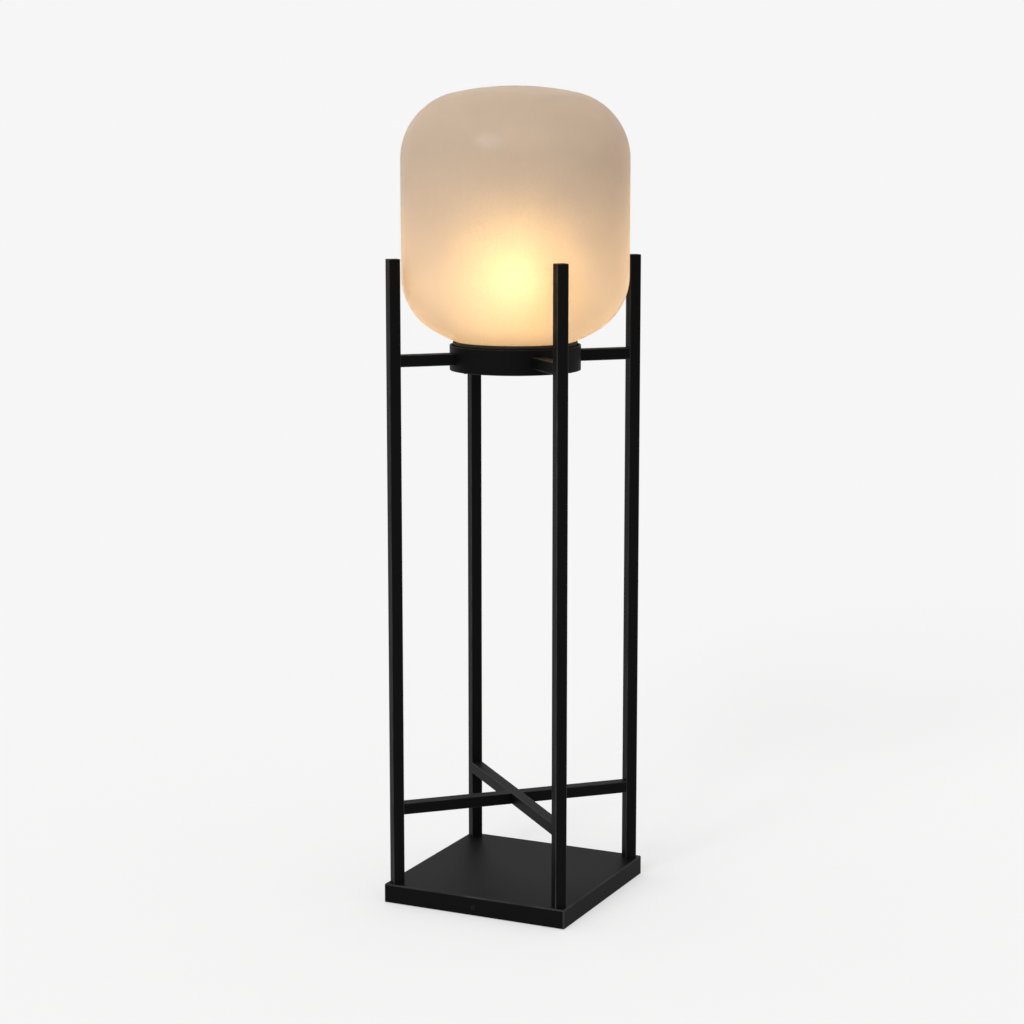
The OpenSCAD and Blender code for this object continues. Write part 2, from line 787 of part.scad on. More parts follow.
// Screw cap with its rolled thread
module bulb_cap() {
    pitch = 3.6;
    depth = 0.8;
    wall = 0.5;
    turns = 4;
    z0 = cap_low;
    crest = cap_d / 2;
    top = bulb_cap_h - cap_lap;
    waves = [for (i = [0:turns - 1], k = [0:3])
        [crest - depth * (k < 2 ? 1 : 0), z0 + 1.5 + (i + k / 4) * pitch]];
    color("#c3c5c8") translate([0, 0, bulb_z]) rotate_extrude() difference() {
        polygon(concat([[0, z0], [crest - 2, z0]], waves, [
            [crest - depth, z0 + 2 + turns * pitch], [crest, top - 0.5], [crest, top], [0, top]
        ]));
        translate([-over, z0 + cap_web]) square([crest - depth - wall + over, top]);
    }
}

// Dark glass insulator between the cap and the tip contact
module bulb_insulator() {
    color("#2a2233") translate([0, 0, bulb_z + tip_h]) rotate_extrude()
        polygon([[0, 0], [5, 0], [cap_d / 2 - 2, insulator_h], [0, insulator_h]]);
}

module bulb_contact() {
    color("#c9cbce") translate([0, 0, bulb_z]) rotate_extrude()
        polygon([[0, 0], [3, 0], [4.5, tip_h], [0, tip_h]]);
}

// Glass stem with the little arms that hold the filaments
module bulb_stem() {
    foot_z = bulb_z + cap_low + cap_web;
    low = globe_z - filament_l / 2 + 3;
    high = globe_z + filament_l / 2 - 3;
    flare_top = low - stem_neck;
    color("#e6ebe8") union() {
        translate([0, 0, foot_z]) cylinder(r = 5, h = flare_top - foot_z);
        translate([0, 0, flare_top - 1]) cylinder(r = 1.5, h = high - flare_top + 2, $fn = 32);
        for (i = [0:filaments - 1], z = [low, high])
            rotate([0, 0, i * 360 / filaments]) translate([0, 0, z]) rotate([0, 90, 0])
                cylinder(r = 0.5, h = filament_pos - filament_r, $fn = 16);
    }
}

// Straight light filaments round the stem
module bulb_filaments() {
    color("#ffd98a") for (i = [0:filaments - 1])
        rotate([0, 0, i * 360 / filaments]) translate([filament_pos, 0, globe_z - filament_l / 2])
            cylinder(r = filament_r, h = filament_l, $fn = 32);
}

// ---------- glass ----------

// Half outline of the glass, at a distance t inside its outer face
module shade_half(t) {
    crown = crown_r - t;
    bowl = bowl_r - t;
    crown_side = atan2(shoulder_z - crown_z, shoulder_x);
    bowl_side = atan2(bowl_z - hip_z, hip_x);
    far = 2 * crown_r;
    union() {
        intersection() {
            translate([0, crown_z]) circle(r = crown, $fn = 360);
            translate([0, crown_z]) polygon([[0, 0], far * [cos(crown_side), sin(crown_side)], [0, far]]);
        }
        intersection() {
            translate([0, bowl_z]) circle(r = bowl, $fn = 360);
            translate([0, bowl_z]) polygon([[0, 0], [0, -far], far * [cos(bowl_side), -sin(bowl_side)]]);
        }
        translate([shoulder_x, shoulder_z]) circle(r = shoulder_r - t, $fn = 180);
        translate([hip_x, hip_z]) circle(r = hip_r - t, $fn = 180);
        translate([0, hip_z]) square([shade_r - t, shoulder_z - hip_z]);
    }
}

// Frosted glass drum with a round mouth below
module glass_shade() {
    color("#e3cdb4") rotate_extrude($fn = 180) difference() {
        intersection() {
            shade_half(0);
            translate([0, bowl_low - over]) square([shade_r + over, shade_h + 2 * over]);
        }
        shade_half(glass_t);
        translate([-over, bowl_low - over]) square([mouth_r + over, bowl_r / 4]);
    }
}

base_cover();
bottom_plate();
plate_brackets();
ballast_plate();
foot(1, 1);  // foot_back_right
foot(-1, 1);  // foot_back_left
foot(-1, -1);  // foot_front_left
foot(1, -1);  // foot_front_right
side_screws();
cord_grommet();
terminal_block();
terminal_screws();
earth_stud();
lead_live();
lead_neutral();
lead_earth();
leg(right);  // leg_right
leg(back);  // leg_back
leg(left);  // leg_left
leg(front);  // leg_front
leg_cap(right);  // leg_cap_right
leg_cap(back);  // leg_cap_back
leg_cap(left);  // leg_cap_left
leg_cap(front);  // leg_cap_front
leg_plug(right);  // leg_plug_right
leg_plug(back);  // leg_plug_back
leg_plug(left);  // leg_plug_left
leg_plug(front);  // leg_plug_front
leg_rods();
leg_nuts();
leg_washers();
brace_long();
brace_half(left);  // brace_left
brace_half(right);  // brace_right
arm(right);  // arm_right
arm(back);  // arm_back
arm(left);  // arm_left
arm(front);  // arm_front
support_ring();
ring_under_plate();
under_plate_screws();
shade_tray();
tray_screws();
rim_seal();
holder_rod();
holder_nut();
holder_washer();
holder_cup();
holder_shell();
holder_core();
holder_screw_shell();
holder_contact();
bulb_globe();
bulb_cap();
bulb_insulator();
bulb_contact();
bulb_stem();
bulb_filaments();
glass_shade();
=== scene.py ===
"""Looks of the lantern floor lamp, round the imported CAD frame.

It models the visible pieces again, gives every piece its finish, and sets up the studio and the camera.
Metres, +Z up. The base's sides lie along X and Y, and the legs, arms and braces lie on its diagonals.
"""

import json
import math

import bmesh
import bpy
from mathutils import Matrix, Vector


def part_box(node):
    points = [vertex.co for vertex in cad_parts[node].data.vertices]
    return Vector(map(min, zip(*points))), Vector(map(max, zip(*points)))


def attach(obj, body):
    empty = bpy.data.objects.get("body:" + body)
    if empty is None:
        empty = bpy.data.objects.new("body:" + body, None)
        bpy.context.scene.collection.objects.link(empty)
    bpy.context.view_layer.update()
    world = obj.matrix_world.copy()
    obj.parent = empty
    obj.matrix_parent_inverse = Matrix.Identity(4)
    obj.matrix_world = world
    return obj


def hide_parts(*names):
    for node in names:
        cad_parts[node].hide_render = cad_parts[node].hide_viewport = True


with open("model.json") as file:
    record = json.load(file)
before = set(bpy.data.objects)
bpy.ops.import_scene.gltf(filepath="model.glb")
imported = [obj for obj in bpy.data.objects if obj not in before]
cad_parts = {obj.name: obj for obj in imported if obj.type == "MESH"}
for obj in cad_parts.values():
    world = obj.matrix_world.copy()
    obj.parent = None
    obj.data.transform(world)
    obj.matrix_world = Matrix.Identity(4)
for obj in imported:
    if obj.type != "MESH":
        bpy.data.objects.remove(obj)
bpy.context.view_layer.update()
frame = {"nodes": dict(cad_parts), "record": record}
MM = 0.001
FULL_TURN = 2 * math.pi

# Two places nearer than this are the same
CLOSE = 0.01 * MM

# Surfaces that meet at less than this are shaded as one
SMOOTH_BELOW = math.radians(35)

# Corners, counter-clockwise from (+X,+Y), and the direction of each in degrees
CORNERS = {"right": 45, "back": 135, "left": 225, "front": 315}

# Square tube of the legs, arms and braces
TUBE = 18 * MM
TUBE_WALL = 1.2 * MM
TUBE_CORNER = 1.2 * MM


# ---------- sizes read from the frame ----------


def low(node, axis):
    """Lowest place of a CAD node along an axis (0, 1 or 2)."""
    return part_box(node)[0][axis]


def high(node, axis):
    """Highest place of a CAD node along an axis (0, 1 or 2)."""
    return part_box(node)[1][axis]


def middle(node):
    """Middle of a CAD node's box."""
    lowest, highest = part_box(node)
    return (lowest + highest) / 2


LEG_DISTANCE = middle("leg_front").xy.length
LEG_FACE = LEG_DISTANCE - TUBE / 2
BASE_TOP = high("base_cover", 2)
BASE_LOW = low("base_cover", 2)
BASE_HALF = high("base_cover", 0)
ARM_Z = middle("arm_front").z
BRACE_Z = middle("brace_long").z
RING_LOW = low("support_ring", 2)
RING_HIGH = high("support_ring", 2)
RING_RADIUS = high("support_ring", 0)
TRAY_LOW = low("shade_tray", 2)
TRAY_HIGH = high("shade_tray", 2)
TRAY_RADIUS = high("shade_tray", 0)
HOLDER_LOW = low("holder_cup", 2)
HOLDER_HIGH = high("holder_shell", 2)
HOLDER_RADIUS = high("holder_cup", 0)
GLOBE_HIGH = high("bulb_globe", 2)
GLOBE_RADIUS = high("bulb_globe", 0)
SCREW_Z = middle("cord_grommet").z
GROMMET_X = middle("cord_grommet").x


# ---------- working in edit mode ----------


def unselect():
    """Nothing stays selected, CAD nodes included."""
    bpy.ops.object.select_all(action="DESELECT")


def select(piece):
    """Makes one piece the active one and the only one selected."""
    unselect()
    piece.select_set(True)
    bpy.context.view_layer.objects.active = piece


def open_mesh(piece):
    """Opens one piece in edit mode with nothing selected in it."""
    select(piece)
    bpy.ops.object.mode_set(mode="EDIT")
    bpy.ops.mesh.select_all(action="DESELECT")


def close_mesh():
    """Leaves edit mode."""
    bpy.ops.object.mode_set(mode="OBJECT")


def pick(kind, test):
    """Selects the vertices, edges or faces that pass a test of the element and its middle."""
    bpy.ops.mesh.select_mode(type=kind)
    bpy.ops.mesh.select_all(action="DESELECT")
    mesh = bmesh.from_edit_mesh(bpy.context.edit_object.data)
    elements = {"VERT": mesh.verts, "EDGE": mesh.edges, "FACE": mesh.faces}[kind]
    for element in elements:
        corners = [element] if kind == "VERT" else element.verts
        spot = sum((v.co for v in corners), Vector()) / len(corners)
        if test(element, spot):
            element.select_set(True)
    mesh.select_flush_mode()
    bmesh.update_edit_mesh(bpy.context.edit_object.data)


def pick_edges_along(axis, test=lambda spot: True):
    """Selects the edges that run along an axis (0, 1 or 2) and whose middle passes a test."""

    def runs_along(edge, spot):
        way = (edge.verts[1].co - edge.verts[0].co).normalized()
        return abs(way[axis]) > 0.99 and test(spot)

    pick("EDGE", runs_along)


def pick_faces_facing(way):
    """Selects the faces whose normal points a way."""
    pick("FACE", lambda face, spot: face.normal.dot(Vector(way)) > 0.99)


def round_edges(radius, segments=3):
    """Rounds the selected edges."""
    bpy.ops.mesh.bevel(offset=radius, segments=segments, affect="EDGES", clamp_overlap=True)


def pull(value):
    """Extrudes the selection by a vector."""
    bpy.ops.mesh.extrude_region_move(TRANSFORM_OT_translate={"value": value})


def box(name, lowest, highest):
    """Box between two corners."""
    lowest, highest = Vector(lowest), Vector(highest)
    unselect()
    bpy.ops.mesh.primitive_cube_add(size=1, location=(lowest + highest) / 2, scale=highest - lowest)
    bpy.ops.object.transform_apply(location=True, rotation=True, scale=True)
    piece = bpy.context.object
    piece.name = name
    return piece


def lathe(name, outline, steps=96):
    """Turns an outline of (radius, height) points about the Z axis."""
    unselect()
    bpy.ops.mesh.primitive_plane_add(size=1)
    piece = bpy.context.object
    piece.name = name
    open_mesh(piece)
    bpy.ops.mesh.select_mode(type="VERT")
    bpy.ops.mesh.select_all(action="SELECT")
    bpy.ops.mesh.merge(type="CENTER")
    here = Vector((outline[0][0], 0, outline[0][1]))
    bpy.ops.transform.translate(value=here)
    for radius, height in outline[1:]:
        there = Vector((radius, 0, height))
        bpy.ops.mesh.extrude_vertices_move(TRANSFORM_OT_translate={"value": there - here})
        here = there
    bpy.ops.mesh.select_all(action="SELECT")
    bpy.ops.mesh.spin(steps=steps, angle=FULL_TURN, center=(0, 0, 0), axis=(0, 0, 1))
    bpy.ops.mesh.select_all(action="SELECT")
    bpy.ops.mesh.remove_doubles(threshold=0.001 * MM)
    bpy.ops.mesh.normals_make_consistent(inside=False)
    close_mesh()
    return piece


def arc(centre, radius, start, end, steps):
    """Points of an arc in the outline's plane, from one angle to another in degrees."""
    turn = (end - start) / steps
    angles = [math.radians(start + i * turn) for i in range(steps + 1)]
    return [(centre[0] + radius * math.cos(a), centre[1] + radius * math.sin(a)) for a in angles]


def rounded(corners, radius, steps=3):
    """A closed outline of (r, z) corners with each corner rounded, to be turned on the lathe."""
    points = []
    for i, corner in enumerate(corners):
        here = Vector(corner)
        before = Vector(corners[i - 1]) - here
        after = Vector(corners[(i + 1) % len(corners)]) - here
        if here.x < CLOSE:
            points.append(tuple(here))
            continue
        reach = min(radius, 0.45 * before.length, 0.45 * after.length)
        start, end = here + before.normalized() * reach, here + after.normalized() * reach
        for k in range(steps + 1):
            t = k / steps
            points.append(tuple(start.lerp(here, t).lerp(here.lerp(end, t), t)))
    if corners[0][0] >= CLOSE:
        points.append(points[0])
    return points


def place(piece, move=(0, 0, 0), turn=(0, 0, 0)):
    """Turns and moves a piece, and leaves its place in its mesh. Angles are in degrees."""
    piece.rotation_euler = [math.radians(a) for a in turn]
    piece.location = move
    select(piece)
    bpy.ops.object.transform_apply(location=True, rotation=True, scale=True)
    return piece


def copy_of(piece, name):
    """A copy with its own mesh."""
    select(piece)
    bpy.ops.object.duplicate(linked=False)
    copied = bpy.context.object
    copied.name = name
    return copied


def joined(pieces, name):
    """Several pieces made one."""
    unselect()
    for piece in pieces:
        piece.select_set(True)
    bpy.context.view_layer.objects.active = pieces[0]
    bpy.ops.object.join()
    pieces[0].name = name
    return pieces[0]


def copied_round(piece, count):
    """A piece and its copies, evenly round the Z axis."""
    pieces = [piece]
    for i in range(1, count):
        pieces.append(place(copy_of(piece, piece.name), turn=(0, 0, i * 360 / count)))
    return pieces


def apply_modifier(piece, kind, **settings):
    """Adds a modifier with its settings and applies it."""
    select(piece)
    bpy.ops.object.modifier_add(type=kind)
    modifier = piece.modifiers[-1]
    for name, value in settings.items():
        setattr(modifier, name, value)
    bpy.ops.object.modifier_apply(modifier=modifier.name)


def cut(piece, cutter):
    """Takes the cutter's shape out of a piece."""
    apply_modifier(piece, "BOOLEAN", operation="DIFFERENCE", solver="MANIFOLD", object=cutter)
    bpy.data.objects.remove(cutter)


def drill(piece, radius, start, way, depth, sides=32):
    """Makes a round or polygonal hole from a point on, along a way."""
    way = Vector(way).normalized()
    unselect()
    bpy.ops.mesh.primitive_cylinder_add(
        vertices=sides,
        radius=radius,
        depth=depth,
        location=Vector(start) + way * depth / 2,
        rotation=way.to_track_quat("Z", "Y").to_euler(),
    )
    bpy.ops.object.transform_apply(location=True, rotation=True, scale=True)
    cut(piece, bpy.context.object)


def drill_three(piece, radius, distance, start_z, depth):
    """Makes three upward holes from a height on, evenly round the Z axis."""
    for i in range(3):
        turn = Matrix.Rotation(i * FULL_TURN / 3, 3, "Z")
        drill(piece, radius, turn @ Vector((distance, 0, start_z)), (0, 0, 1), depth, sides=24)


def mark_edges(piece):
    """Writes 1 on the narrow faces of rounded edges and 0 elsewhere, for wear and, on the black paint, a
    painted highlight.
    """
    bends, widest = math.radians(8), 1.2 * MM
    mesh = bmesh.new()
    mesh.from_mesh(piece.data)
    layer = mesh.faces.layers.float.new("edge")
    for face in mesh.faces:
        turned = [e for e in face.edges if e.calc_face_angle(0) > bends]
        width = face.calc_area() / max(e.calc_length() for e in face.edges)
        face[layer] = 1.0 if len(turned) >= 2 and width < widest else 0.0
    mesh.to_mesh(piece.data)
    mesh.free()


def finished(piece, slot, body, *nodes):
    """Last step of a new piece: edge marks for wear and painted highlights, shading, finish, body, and the
    CAD nodes that it stands for.
    """
    mark_edges(piece)
    select(piece)
    bpy.ops.object.shade_smooth_by_angle(angle=SMOOTH_BELOW, keep_sharp_edges=True)
    apply_modifier(piece, "WEIGHTED_NORMAL", keep_sharp=True, weight=90)
    piece.data.materials.clear()
    piece.data.materials.append(FINISHES[slot])
    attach(piece, body)
    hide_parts(*nodes)
    return piece


# ---------- nodes of materials ----------

# Strength of the bulb's light
BULB_STRENGTH = 36.0

# The shade: its colour, the share of light that goes through, the roughness of its clearer and duller pits,
# and the values of the noise between which one turns into the other
SHADE_COLOUR = (0.605, 0.525, 0.432)
SHADE_TRANSMISSION = 0.55
SHADE_CLEARER = 0.14
SHADE_DULLER = 0.95
SHADE_PITS = (0.39, 0.43)

# Painted light on the shade, a faint warm glow: its strength, full up to the first height and gone at the
# second
PAINTED_SHADE_GLOW = 0.2
PAINTED_GLOW_FULL_Z = 0.86
PAINTED_GLOW_GONE_Z = 1.16


def feed(tree, socket, value):
    """Gives an input a value, or links it where it is given a socket."""
    if isinstance(value, bpy.types.NodeSocket):
        tree.links.new(value, socket)
    else:
        socket.default_value = value


def node(tree, kind, settings=None, **inputs):
    """Adds a shader node with its settings and inputs."""
    made = tree.nodes.new("ShaderNode" + kind)
    for name, value in (settings or {}).items():
        setattr(made, name, value)
    for name, value in inputs.items():
        feed(tree, made.inputs[name.replace("_", " ")], value)
    return made


def object_place(tree):
    """Place on a piece in its own coordinates."""
    return node(tree, "TexCoord").outputs["Object"]


def mixed(tree, mask, first, second):
    """One colour where a mask is 0 and another where it is 1."""
    made = tree.nodes.new("ShaderNodeMix")
    made.data_type = "RGBA"
    factor, first_in, second_in = made.inputs[0], made.inputs[6], made.inputs[7]
    feed(tree, factor, mask)
    for socket, colour in ((first_in, first), (second_in, second)):
        feed(tree, socket, colour if isinstance(colour, bpy.types.NodeSocket) else (*colour, 1))
    return made.outputs[2]


def spread(tree, value, from_low, from_high, to_low, to_high):
    """Maps a value from one range to another, clamped."""
    ranges = {"From_Min": from_low, "From_Max": from_high, "To_Min": to_low, "To_Max": to_high}
    return node(tree, "MapRange", Value=value, **ranges).outputs["Result"]


def maths(tree, operation, first, second):
    """A sum, product or other operation of two values."""
    made = tree.nodes.new("ShaderNodeMath")
    made.operation = operation
    for socket, value in zip(made.inputs, (first, second)):
        feed(tree, socket, value)
    return made.outputs[0]


def new_effect(name, inputs, outputs):
    """Empty node group with float inputs (name, default) and float outputs."""
    tree = bpy.data.node_groups.new(name, "ShaderNodeTree")
    for label, default in inputs:
        socket = tree.interface.new_socket(name=label, in_out="INPUT", socket_type="NodeSocketFloat")
        socket.default_value = default
    for label in outputs:
        tree.interface.new_socket(name=label, in_out="OUTPUT", socket_type="NodeSocketFloat")
    return tree, tree.nodes.new("NodeGroupInput").outputs, tree.nodes.new("NodeGroupOutput").inputs


def effect(tree, group, **inputs):
    """Places an effect in a material; its inputs are given by name."""
    made = tree.nodes.new("ShaderNodeGroup")
    made.node_tree = group
    for name, value in inputs.items():
        made.inputs[name.replace("_", " ")].default_value = value
    return made.outputs


def grain_effect():
    """Fine bumps of a sprayed, moulded or frosted surface."""
    tree, given, out = new_effect("surface_grain", [("Scale", 900), ("Softness", 0.5)], ["Height", "Speckle"])
    where = object_place(tree)
    fine = node(tree, "TexNoise", Vector=where, Scale=given["Scale"], Detail=3, Roughness=given["Softness"])
    half_scale = maths(tree, "MULTIPLY", given["Scale"], 0.31)
    broad = node(tree, "TexNoise", Vector=where, Scale=half_scale, Detail=1)
    height = maths(tree, "ADD", fine.outputs["Fac"], broad.outputs["Fac"])
    tree.links.new(height, out["Height"])
    tree.links.new(spread(tree, fine.outputs["Fac"], 0.55, 0.75, 0, 1), out["Speckle"])
    return tree


def rub_effect():
    """Mask of rounded edges, a little uneven, where a coat is rubbed thin or polished; the black paint also
    uses it for a painted highlight.
    """
    tree, given, out = new_effect("rubbed_edges", [("Scale", 60), ("Amount", 0.5)], ["Mask"])
    where = object_place(tree)
    patches = node(tree, "TexNoise", Vector=where, Scale=given["Scale"], Detail=4)
    broken = spread(tree, patches.outputs["Fac"], 0.35, 0.7, 0.4, 1)
    edge = node(tree, "Attribute", {"attribute_name": "edge"}).outputs["Fac"]
    mask = maths(tree, "MULTIPLY", maths(tree, "MULTIPLY", edge, broken), given["Amount"])
    tree.links.new(mask, out["Mask"])
    return tree


def handling_effect():
    """Broad soft variation of gloss or colour, as touch, oil and age leave it."""
    tree, given, out = new_effect("handling", [("Scale", 12), ("Contrast", 1)], ["Mask"])
    where = object_place(tree)
    cloud = node(tree, "TexNoise", Vector=where, Scale=given["Scale"], Detail=5, Roughness=0.62)
    centred = maths(tree, "MULTIPLY", maths(tree, "SUBTRACT", cloud.outputs["Fac"], 0.5), given["Contrast"])
    clamped = spread(tree, centred, -0.25, 0.25, 0, 1)
    tree.links.new(clamped, out["Mask"])
    return tree


def dust_effect():
    """Thin dust on faces that look up."""
    tree, given, out = new_effect("settled_dust", [("Scale", 220), ("Amount", 0.3)], ["Mask"])
    where = object_place(tree)
    up = node(tree, "SeparateXYZ", Vector=node(tree, "NewGeometry").outputs["Normal"]).outputs["Z"]
    facing = spread(tree, up, 0.6, 1.0, 0, 1)
    flecks = node(tree, "TexNoise", Vector=where, Scale=given["Scale"], Detail=6, Roughness=0.7)
    patches = spread(tree, flecks.outputs["Fac"], 0.45, 0.75, 0, 1)
    mask = maths(tree, "MULTIPLY", maths(tree, "MULTIPLY", facing, patches), given["Amount"])
    tree.links.new(mask, out["Mask"])
    return tree


def turned_effect():
    """Fine lines round the Z axis, as turning, rolling or drawing leaves them."""
    tree, given, out = new_effect("turned_lines", [("Scale", 3000), ("Breakup", 0.3)], ["Height"])
    where = object_place(tree)
    stretched = node(tree, "Mapping", Vector=where, Scale=(0.02, 0.02, 1))
    lines = node(tree, "TexNoise", Vector=stretched.outputs["Vector"], Scale=given["Scale"], Detail=2)
    broken = node(tree, "TexNoise", Vector=where, Scale=80, Detail=2)
    faded = maths(tree, "MULTIPLY", broken.outputs["Fac"], given["Breakup"])
    tree.links.new(maths(tree, "ADD", lines.outputs["Fac"], faded), out["Height"])
    return tree


GRAIN = grain_effect()
RUB = rub_effect()
HANDLING = handling_effect()
DUST = dust_effect()
TURNED = turned_effect()


def new_finish(name, colour, roughness, metallic=0.0, ior=1.5):
    """Material with one Principled shader."""
    material = bpy.data.materials.new(name)
    material.use_nodes = True
    tree = material.node_tree
    shader = tree.nodes["Principled BSDF"]
    shader.inputs["Base Color"].default_value = (*colour, 1)
    shader.inputs["Roughness"].default_value = roughness
    shader.inputs["Metallic"].default_value = metallic
    shader.inputs["IOR"].default_value = ior
    return material, tree, shader


def vary_colour(tree, shader, mask, first, second):
    """Gives the shader one colour where a mask is 0 and another where it is 1."""
    tree.links.new(mixed(tree, mask, first, second), shader.inputs["Base Color"])


def vary_roughness(tree, shader, mask, first, second):
    """Gives the shader one roughness where a mask is 0 and another where it is 1."""
    tree.links.new(spread(tree, mask, 0, 1, first, second), shader.inputs["Roughness"])


def raise_surface(tree, shader, height, strength, distance):
    """Bumps the shader's normal by a height."""
    bump = node(tree, "Bump", Height=height, Strength=strength, Distance=distance)
    tree.links.new(bump.outputs["Normal"], shader.inputs["Normal"])


def black_paint():
    """Satin black powder coat: fine orange-peel grain, thin dust on top, edges a little paler as wear and as
    a painted highlight.
    """
    material, tree, shader = new_finish("black_powder_coat", (0.002, 0.002, 0.0021), 0.5, ior=1.13)
    grain = effect(tree, GRAIN, Scale=1100, Softness=0.45)
    rubbed = effect(tree, RUB, Scale=22, Amount=0.6)["Mask"]
    dust = effect(tree, DUST, Scale=260, Amount=0.10)["Mask"]
    soft = effect(tree, HANDLING, Scale=5, Contrast=0.7)["Mask"]
    coat = mixed(tree, soft, (0.0023, 0.0023, 0.0024), (0.0031, 0.0031, 0.0033))
    # Paler rounded edges: partly wear, partly a painted highlight where the folds and tube edges would catch
    # the light
    wear_and_painted_highlight = mixed(tree, rubbed, coat, (0.055, 0.054, 0.052))
    vary_colour(tree, shader, dust, wear_and_painted_highlight, (0.11, 0.105, 0.10))
    gloss = spread(tree, soft, 0, 1, 0.48, 0.54)
    tree.links.new(maths(tree, "ADD", gloss, maths(tree, "MULTIPLY", dust, 0.5)), shader.inputs["Roughness"])
    raise_surface(tree, shader, grain["Height"], 0.25, 0.0004)
    return material


def plate_steel():
    """Grey primer on sheet steel, a little uneven."""
    material, tree, shader = new_finish("grey_primer", (0.06, 0.06, 0.065), 0.6, ior=1.4)
    soft = effect(tree, HANDLING, Scale=18, Contrast=1.2)["Mask"]
    vary_colour(tree, shader, soft, (0.05, 0.05, 0.054), (0.075, 0.074, 0.078))
    vary_roughness(tree, shader, soft, 0.52, 0.7)
    raise_surface(tree, shader, effect(tree, GRAIN, Scale=1500)["Height"], 0.3, 0.0003)
    return material


def ballast_iron():
    """Oiled hot-rolled plate: blue-black scale with brown patches."""
    material, tree, shader = new_finish("rolled_iron", (0.1, 0.1, 0.105), 0.5, metallic=0.8)
    patches = effect(tree, HANDLING, Scale=26, Contrast=1.6)["Mask"]
    flecks = effect(tree, GRAIN, Scale=700, Softness=0.7)
    scale = mixed(tree, patches, (0.075, 0.08, 0.09), (0.14, 0.12, 0.105))
    vary_colour(tree, shader, flecks["Speckle"], scale, (0.2, 0.13, 0.09))
    vary_roughness(tree, shader, patches, 0.38, 0.62)
    raise_surface(tree, shader, flecks["Height"], 0.4, 0.0004)
    return material


def zinc_steel():
    """Bright zinc plating with drawn lines and faint clouding."""
    material, tree, shader = new_finish("bright_zinc", (0.62, 0.63, 0.65), 0.3, metallic=1.0)
    cloud = effect(tree, HANDLING, Scale=90, Contrast=1.2)["Mask"]
    vary_colour(tree, shader, cloud, (0.55, 0.57, 0.60), (0.70, 0.70, 0.68))
    vary_roughness(tree, shader, cloud, 0.24, 0.4)
    raise_surface(tree, shader, effect(tree, TURNED, Scale=2600, Breakup=0.4)["Height"], 0.15, 0.0002)
    return material


def black_screws():
    """Blackened steel, polished where a driver and handling touch it."""
    material, tree, shader = new_finish("blackened_steel", (0.02, 0.02, 0.022), 0.35, metallic=0.7)
    rubbed = effect(tree, RUB, Scale=400, Amount=0.5)["Mask"]
    soft = effect(tree, HANDLING, Scale=200, Contrast=1.0)["Mask"]
    oxide = mixed(tree, soft, (0.006, 0.006, 0.007), (0.012, 0.012, 0.014))
    vary_colour(tree, shader, rubbed, oxide, (0.03, 0.03, 0.031))
    vary_roughness(tree, shader, soft, 0.28, 0.42)
    return material


def rubber():
    """Matte black rubber with a dull bloom."""
    material, tree, shader = new_finish("black_rubber", (0.012, 0.012, 0.012), 0.75, ior=1.35)
    bloom = effect(tree, HANDLING, Scale=70, Contrast=1.4)["Mask"]
    vary_colour(tree, shader, bloom, (0.009, 0.009, 0.009), (0.02, 0.02, 0.019))
    vary_roughness(tree, shader, bloom, 0.66, 0.85)
    raise_surface(tree, shader, effect(tree, GRAIN, Scale=2600)["Height"], 0.25, 0.0002)
    return material


def moulded_plastic(name, dark, pale, roughness):
    """Moulded or drawn plastic: a little colour variation, faint grain."""
    material, tree, shader = new_finish(name, pale, roughness)
    soft = effect(tree, HANDLING, Scale=120, Contrast=1.0)["Mask"]
    vary_colour(tree, shader, soft, dark, pale)
    vary_roughness(tree, shader, soft, roughness - 0.06, roughness + 0.06)
    raise_surface(tree, shader, effect(tree, GRAIN, Scale=2200)["Height"], 0.15, 0.0002)
    return material


def striped_sleeve():
    """Green sleeve with a yellow stripe that winds round it."""
    material, tree, shader = new_finish("green_yellow_sleeve", (0.12, 0.36, 0.06), 0.45)
    where = object_place(tree)
    stripe = node(tree, "TexWave", {"bands_direction": "DIAGONAL"}, Vector=where, Scale=60, Distortion=0)
    mask = spread(tree, stripe.outputs["Fac"], 0.62, 0.66, 0, 1)
    vary_colour(tree, shader, mask, (0.05, 0.24, 0.04), (0.72, 0.56, 0.03))
    raise_surface(tree, shader, effect(tree, GRAIN, Scale=2600)["Height"], 0.15, 0.0002)
    return material


def brass():
    """Satin brass, drawn lines and slight tarnish."""
    material, tree, shader = new_finish("satin_brass", (0.76, 0.56, 0.24), 0.32, metallic=1.0)
    tarnish = effect(tree, HANDLING, Scale=110, Contrast=1.3)["Mask"]
    vary_colour(tree, shader, tarnish, (0.78, 0.58, 0.25), (0.55, 0.37, 0.15))
    vary_roughness(tree, shader, tarnish, 0.24, 0.45)
    raise_surface(tree, shader, effect(tree, TURNED, Scale=3000, Breakup=0.3)["Height"], 0.15, 0.0002)
    return material


def holder_plastic():
    """Glossy black pressed thermoset."""
    material, tree, shader = new_finish("black_thermoset", (0.02, 0.02, 0.021), 0.22)
    soft = effect(tree, HANDLING, Scale=80, Contrast=1.0)["Mask"]
    rubbed = effect(tree, RUB, Scale=260, Amount=0.4)["Mask"]
    body = mixed(tree, soft, (0.014, 0.014, 0.015), (0.026, 0.025, 0.025))
    vary_colour(tree, shader, rubbed, body, (0.06, 0.058, 0.056))
    vary_roughness(tree, shader, soft, 0.18, 0.32)
    return material


def ceramic():
    """White glaze with a few iron specks."""
    material, tree, shader = new_finish("white_glaze", (0.85, 0.83, 0.78), 0.2)
    grain = effect(tree, GRAIN, Scale=420, Softness=0.8)
    pale = mixed(tree, effect(tree, HANDLING, Scale=60)["Mask"], (0.82, 0.79, 0.73), (0.88, 0.86, 0.82))
    specks = maths(tree, "MULTIPLY", grain["Speckle"], 0.15)
    vary_colour(tree, shader, specks, pale, (0.35, 0.26, 0.18))
    shader.inputs["Coat Weight"].default_value = 0.5
    shader.inputs["Coat Roughness"].default_value = 0.08
    return material


